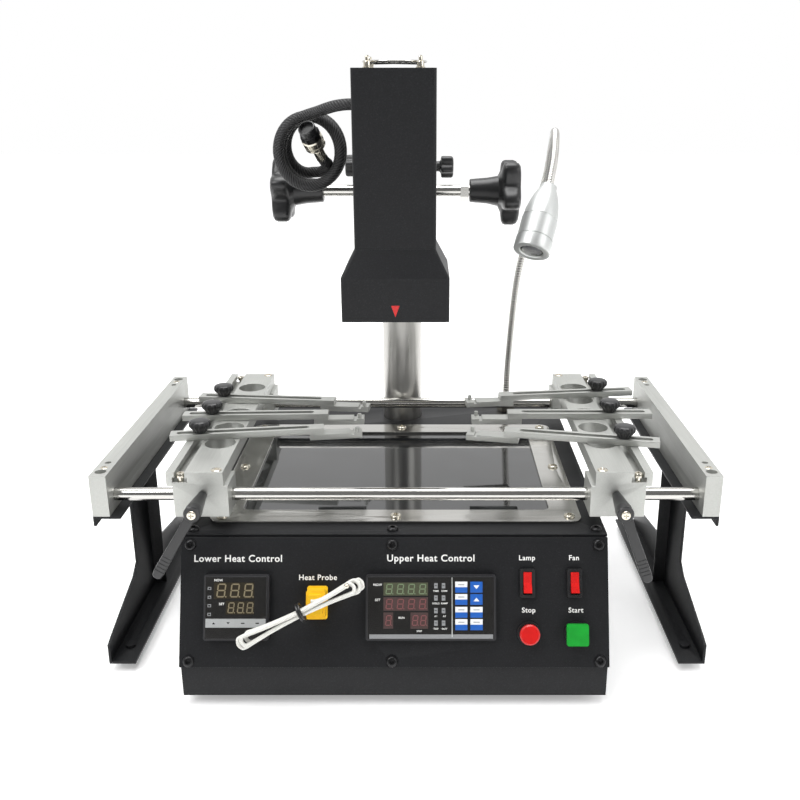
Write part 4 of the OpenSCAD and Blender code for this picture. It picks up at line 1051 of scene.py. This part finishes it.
class STATION_OT_knobs(Step, bpy.types.Operator):
    """Moulds the lobed lift knobs with their caps, and their lock screws"""

    bl_idname = "station.knobs"
    bl_label = "Knobs"

    def build(self):
        for side, label in SIDES:
            self.knob(side, f"{label}_knob")
        for side, label in SIDES:
            self.lock_screw(side, f"{label}_lock_screw")

    def knob(self, side, name):
        low, high = box(name)
        axis = pivot("lift_shaft")
        inner = Vector((high.x if side < 0 else low.x, axis.y, axis.z))
        r, rim = 30, (high.x - low.x) / MM
        hub = rim - 16
        profile = [(6.4, 0.1), (9.4, 0.1), (10, 0.8), (11.2, hub * 0.55), (13.5, hub - 3, 0.03),
                   (19, hub - 0.6, 0.10), (r - 3.4, hub + 0.4, 0.16), (r - 0.9, hub + 1.8, 0.17),
                   (r, hub + 4, 0.17), (r, rim - 5, 0.17), (r - 1.2, rim - 2.2, 0.165),
                   (r - 4, rim - 0.6, 0.15), (r - 8, rim, 0.12), (9.5, rim - 0.6), (8.8, rim - 1.6),
                   (2, rim - 1.6)]
        turned(f"{name}_moulding", profile, "plastic", BODY_OF[name], (name,),
               axis_frame(inner, (side, 0, 0), (0, 0, -side)), 100, 5)
        seat = inner + Vector((side * (rim - 1.6) * MM, 0, 0))
        turned(f"{name}_cap", [(7.6, 0), (7.6, 0.5), (7, 1), (1, 1.2)], "oxide", BODY_OF[name], (),
               axis_frame(seat, (side, 0, 0)))

    def lock_screw(self, side, name):
        low, high = box(name)
        long = 17.6
        foot = pivot(name)
        foot.x = (low.x if side < 0 else high.x) - side * long * MM
        profile = [(3, -4), (4.4, 0), (4.5, 5), (6, 6.2, 0.06), (9.4, 6.8, 0.12), (10, 7.8, 0.13),
                   (10, 9.2, 0.13), (10, 15.4, 0.13), (9.4, 16.8, 0.12), (7.8, 17.5, 0.09),
                   (5, long, 0.04), (3.4, 16.8), (0.6, 16.8)]
        turned(f"{name}_moulding", profile, "plastic", BODY_OF[name], (name,),
               axis_frame(foot, (side, 0, 0), (0, 0, -side)), 80, 5)


class STATION_OT_thumb_screws(Step, bpy.types.Operator):
    """Turns the fluted heads of the six arm screws"""

    bl_idname = "station.thumb_screws"
    bl_label = "Thumb screws"

    def build(self):
        tall = 10.2
        profile = [(2.6, -2.2), (5, -0.02), (5.6, 0.5, 0.02), (5.9, 1.8, 0.045), (7.2, 3.4, 0.06),
                   (8.6, 5, 0.06), (9, 6.6, 0.06), (8.8, 8, 0.05), (8, 9.2, 0.03), (6.4, 9.9), (4, tall),
                   (0.5, tall)]
        for _, label in SIDES:
            for row in ROWS:
                name = f"screw_{label}_{row}"
                low, high = box(name)
                middle = (low + high) / 2
                place = Matrix.Translation((middle.x, middle.y, high.z - tall * MM))
                turned(f"{name}_head", profile, "plastic", BODY_OF[name], (name,), place, 112, 14)


class STATION_OT_levers(Step, bpy.types.Operator):
    """Shapes the two clamp levers with their ribbed grips and hub screws"""

    bl_idname = "station.levers"
    bl_label = "Clamp levers"

    def build(self):
        for _, label in SIDES:
            self.lever(f"{label}_clamp_lever")

    def lever(self, name):
        low, high = box(name)
        hub = pivot(name)
        tip_x = low.x if abs(low.x - hub.x) > abs(high.x - hub.x) else high.x
        grip = Vector((tip_x - hub.x, 0, low.z - hub.z))
        long = grip.length / MM - 1
        place = axis_frame(Vector((hub.x, low.y, hub.z)), (0, -1, 0), grip)
        bm = bmesh.new()
        add_lathe(bm, [(3.2, -36), (3.4, -34.5), (4.6, -24), (6, -10), (6.2, -9.4), (6.2, -2.3),
                       (5.6, -1.7), (1, -1.7)], place, 44)
        edge = [(0, 4.3), (16, 3.5), (long - 8, 4.1), (long - 1.6, 3.4), (long, 1.4)]
        part = bmesh.new()
        add_prism(part, [(x, -y) for x, y in edge] + edge[::-1], -9.1, -2.1)
        bmesh.ops.bevel(part, geom=part.edges[:], offset=1 * MM, segments=3, profile=0.6, affect="EDGES",
                        clamp_overlap=True)
        merge(bm, part, place)
        ribs, rib_pitch, rib_width = 5, 3.1, 1.5
        for n in range(ribs):
            rib = long - 7 - rib_pitch * n
            add_box(bm, (rib, -3.9, -9.4), (rib + rib_width, 3.9, -1.8), place, 0.5)
        to_piece(f"{name}_moulding", bm, "plastic", BODY_OF[name], (name,))
        spot = place @ Vector((0, 0, -1.75 * MM)), place.to_3x3() @ UP
        scatter(f"{name}_screw", [spot], cross_head(3.5, 1.7), "nickel", BODY_OF[name])


# lamp, fan guard, mark and the small steel parts of the fixture

NECK = [(106, 322, 137), (107, 321, 180), (113, 316, 262), (124, 304, 318), (133, 285, 360),
        (134, 255, 392), (131, 220, 405), (127, 185, 402), (122.5, 155, 387), (117, 135, 369)]
LAMP_FRONT, LAMP_BACK = (102, 105, 324), NECK[-1]
NUT = 13


class STATION_OT_lamp(Step, bpy.types.Operator):
    """Builds the work lamp: ribbed neck, turned head, bezel, reflector and lens"""

    bl_idname = "station.lamp"
    bl_label = "Work lamp"

    def build(self):
        self.neck()
        front, back = in_base(*LAMP_FRONT), in_base(*LAMP_BACK)
        place, end = aim(front, back), (back - front).length / MM
        r = 14
        shell = [(8.9, 3), (8.9, 0.7), (9.3, 0.2), (r - 1, 0), (r - 0.3, 0.3), (r, 1), (r, 9.6),
                 (r - 0.5, 10), (r - 0.9, 10.2), (r - 0.9, 10.8), (r - 0.4, 11), (r - 0.4, 26.6),
                 (r - 1.2, 27.2), (r - 1.2, 27.9), (r - 0.8, 28.2), (r - 1.3, 34), (r - 2.6, 40),
                 (r - 4.3, 46), (r - 6.4, end - 5), (6.6, end - 3), (6.4, end), (4, end), (4, end - 3)]
        reflector = [(9.2, 1.2), (9.2, 8), (3, 8), (3, 7), (5.5, 6), (7.6, 3.6), (8.8, 1.2)]
        emitter = [(2.8, 7), (2.8, 5.6), (1.8, 4.9), (0.3, 4.7)]
        dome = [(8.85, 2.8), (8.85, 1.6), (7, 1), (4, 0.6), (0.3, 0.5)]
        for name, profile, key, nodes in (("lamp_shell", shell, "lamp", ("lamp_head",)),
                                          ("lamp_reflector", reflector, "mirror", ()),
                                          ("lamp_emitter", emitter, "led", ()),
                                          ("lamp_lens_dome", dome, "lens", ("lamp_lens",))):
            turned(name, profile, key, "base", nodes, place, 56)

    def neck(self):
        line = smooth_path([in_base(*p) for p in NECK], 14)
        mesh = bpy.data.meshes.new("lamp_neck")
        mesh.from_pydata([tuple(p) for p in line], [(i, i + 1) for i in range(len(line) - 1)], [])
        pitch, r = sizes().rib / MM, sizes().neck / 2 / MM
        rise = [(0.6, 0.62), (0.86, 0.5), (0.97, 0.28), (1, 0)]
        rib = bmesh.new()
        add_lathe(rib, [(r * a, -pitch * b) for a, b in rise]
                  + [(r * a, pitch * b) for a, b in rise[-2::-1]], steps=20)
        repeated("lamp_neck", mesh, rib, neck_tree(), "wire", "base", ("lamp_gooseneck",), 50,
                 Pitch=sizes().rib)
        x, y, z = NECK[0]
        foot = Matrix.Translation(in_base(x, y, z - NUT))
        bm = bmesh.new()
        add_lathe(bm, [(8, 0.1), (9, 0.6), (9, 6), (8.2, 6.5), (1, 6.5)], foot, 6)
        add_lathe(bm, [(6.5, 6), (6.5, 12), (5.6, NUT), (1, NUT)], foot, 32)
        to_piece("lamp_neck_nut", bm, "nickel", "base", ("lamp_gooseneck",))


class STATION_OT_fan_guard(Step, bpy.types.Operator):
    """Bends the wire guard on top of the head and seats its corner screws"""

    bl_idname = "station.fan_guard"
    bl_label = "Fan guard"

    def build(self):
        top = pivot("fan_rotor")
        top.z = box("head_housing")[1].z
        wire, rise, corner = 0.85, 4.85, 19.5
        bend = [(1, 1.4), (0.93, 3), (0.84, 3.9)]
        bm = bmesh.new()
        for r in (6, 12, 18, 23.5):
            add_ring(bm, r, wire, Matrix.Translation(top + UP * rise * MM), 72)
        for way in (1, -1):
            end = Vector((corner, way * corner, 0))
            line = [top + (s * end * share + UP * lift) * MM
                    for s, half in ((-1, bend), (1, bend[::-1])) for share, lift in half]
            absorb(bm, tube_mesh("spoke", line, wire * MM, 10)[0])
        to_piece("fan_guard_wire", bm, "wire", "head", ("fan_guard",), 50)
        spots = [(top + Vector((i, j, 0)) * corner * MM, UP) for i in (-1, 1) for j in (-1, 1)]
        screw = bmesh.new()
        add_lathe(screw, [(3.6, 0), (3.6, 0.8), (2.8, 1), (2.8, 4), (2.5, 4.8), (1.5, 5.4), (1.5, 8),
                          (1, 8.8), (0.2, 8.9)], steps=24)
        scatter("fan_guard_screws", spots, screw, "nickel", "head", ("fan_guard",))


class STATION_OT_small_steel(Step, bpy.types.Operator):
    """Adds the screws of rails and carriages and the pointer mark on the hood"""

    bl_idname = "station.small_steel"
    bl_label = "Small steel and mark"

    def build(self):
        low, high = box("side_rails")
        rods_low, rods_high = box("guide_rods")
        inset, rod_radius, sunk = 6.5 * MM, 5 * MM, 2 * MM
        spots = [(Vector((x, y, high.z - sunk)), UP) for x in (low.x + inset, high.x - inset)
                 for y in (rods_low.y + rod_radius, rods_high.y - rod_radius)]
        scatter("rail_screws", spots, cross_head(3.6, 2.4), "nickel", "fixture")
        for side, label in SIDES:
            self.carriage(side, f"{label}_carriage")
        low, high = box("heater_hood")
        face = axis_frame(Vector(((low.x + high.x) / 2, low.y, low.z)), (0, -1, 0), (1, 0, 0))
        bm = bmesh.new()
        add_prism(bm, [(0, 4), (3.2, 13), (-3.2, 13)], -0.2, 0.12, face)
        to_piece("hood_pointer", bm, "red", "head")

    def carriage(self, side, name):
        """The flat screws of a carriage's plate and the stop screws in its slot."""
        low, high = box(name)
        outer = low.x if side < 0 else high.x
        plate, slot = (outer - side * inset * MM for inset in (37, 10.2))
        flat_in, pan_in, pan_down = 5 * MM, 4 * MM, 8 * MM
        ends = (low.y, 1), (high.y, -1)
        flat = [(Vector((plate, y + way * flat_in, high.z)), UP) for y, way in ends]
        scatter(f"{name}_plate_screws", flat, cross_head(4, 0.9), "nickel", BODY_OF[name])
        pan = [(Vector((slot, y + way * pan_in, high.z - pan_down)), UP) for y, way in ends]
        screw = bmesh.new()
        add_lathe(screw, [(2.2, 0), (2.2, 3), (3.4, 3.1), (3.4, 5.4), (2.9, 6.2), (1.9, 6.4),
                          (1.7, 6.4, 0.3), (1.4, 5.4, 0.4), (0.3, 5.4, 0.3)], lobes=4)
        scatter(f"{name}_stop_screws", pan, screw, "nickel", BODY_OF[name])


# finishes of the CAD nodes

FINISH = {
    "alloy": ("side_rails", "left_carriage", "right_carriage"),
    "sheet": ("heater_frame",),
    "arm": tuple(f"arm_{label}_{row}" for _, label in SIDES for row in ROWS),
    "coat": ("base_tub", "front_panel", "top_deck", "head_housing", "heater_hood", "fixture_legs"),
    "glass": ("heater_glass",),
    "ceramic": ("lower_heater", "upper_heater"),
    "rubber": ("base_feet",),
    "oxide": ("base_screws", "column_socket", "lift_rack", "head_slide", "left_lock_screw",
              "right_lock_screw"),
    "meter": ("lower_controller", "upper_controller"),
    "yellow": ("sensor_socket", "sensor_plug"),
    "plastic": ("panel_bezels", "cable_gland", "fan_frame", "fan_rotor", "left_knob", "right_knob",
                "left_clamp_lever", "right_clamp_lever",
                *(f"screw_{label}_{row}" for _, label in SIDES for row in ROWS)),
    "column": ("column",),
    "rod": ("guide_rods", "lift_shaft"),
    "wire": ("lamp_gooseneck", "fan_guard"),
    "lamp": ("lamp_head", "swing_bracket"),
    "lens": ("lamp_lens",),
    "red": ("light_rocker", "fan_rocker", "stop_button"),
    "green": ("start_button",),
    "nickel": ("head_plug",),
}


class STATION_OT_finishes(Step, bpy.types.Operator):
    """Gives every CAD node its finish and breaks the edges of the sheet and plate parts"""

    bl_idname = "station.finishes"
    bl_label = "Finishes"

    def build(self):
        for key, names in FINISH.items():
            for name in names:
                paint(NODES[name], key)
        for key in ("alloy", "sheet", "arm", "coat"):
            for name in FINISH[key]:
                if name != "heater_hood":
                    node_copy(name, key, sizes().edge)


STEPS = [STATION_OT_stage, STATION_OT_head_cable, STATION_OT_probe_lead, STATION_OT_lettering,
         STATION_OT_meters, STATION_OT_screws, STATION_OT_knobs, STATION_OT_thumb_screws,
         STATION_OT_levers, STATION_OT_lamp, STATION_OT_fan_guard, STATION_OT_small_steel,
         STATION_OT_finishes]


class STATION_PT_side(bpy.types.Panel):
    """Sizes, colours and steps of the rework station"""

    bl_idname = "STATION_PT_side"
    bl_label = "Rework station"
    bl_space_type = "VIEW_3D"
    bl_region_type = "UI"
    bl_category = "Station"

    def draw(self, context):
        for group in (context.scene.station_sizes, context.scene.station_colours):
            frame_box = self.layout.box()
            for key in group.__annotations__:
                frame_box.prop(group, key)
        for step in STEPS:
            self.layout.operator(step.bl_idname)


CLASSES = [StationSizes, StationColours, *STEPS, STATION_PT_side]


def register():
    for cls in CLASSES:
        bpy.utils.register_class(cls)
    bpy.types.Scene.station_sizes = bpy.props.PointerProperty(type=StationSizes)
    bpy.types.Scene.station_colours = bpy.props.PointerProperty(type=StationColours)


def unregister():
    del bpy.types.Scene.station_colours
    del bpy.types.Scene.station_sizes
    for cls in reversed(CLASSES):
        bpy.utils.unregister_class(cls)


def main():
    register()
    make_materials()
    for step in STEPS:
        group, name = step.bl_idname.split(".")
        getattr(getattr(bpy.ops, group), name)()


if __name__ == "__main__":
    main()
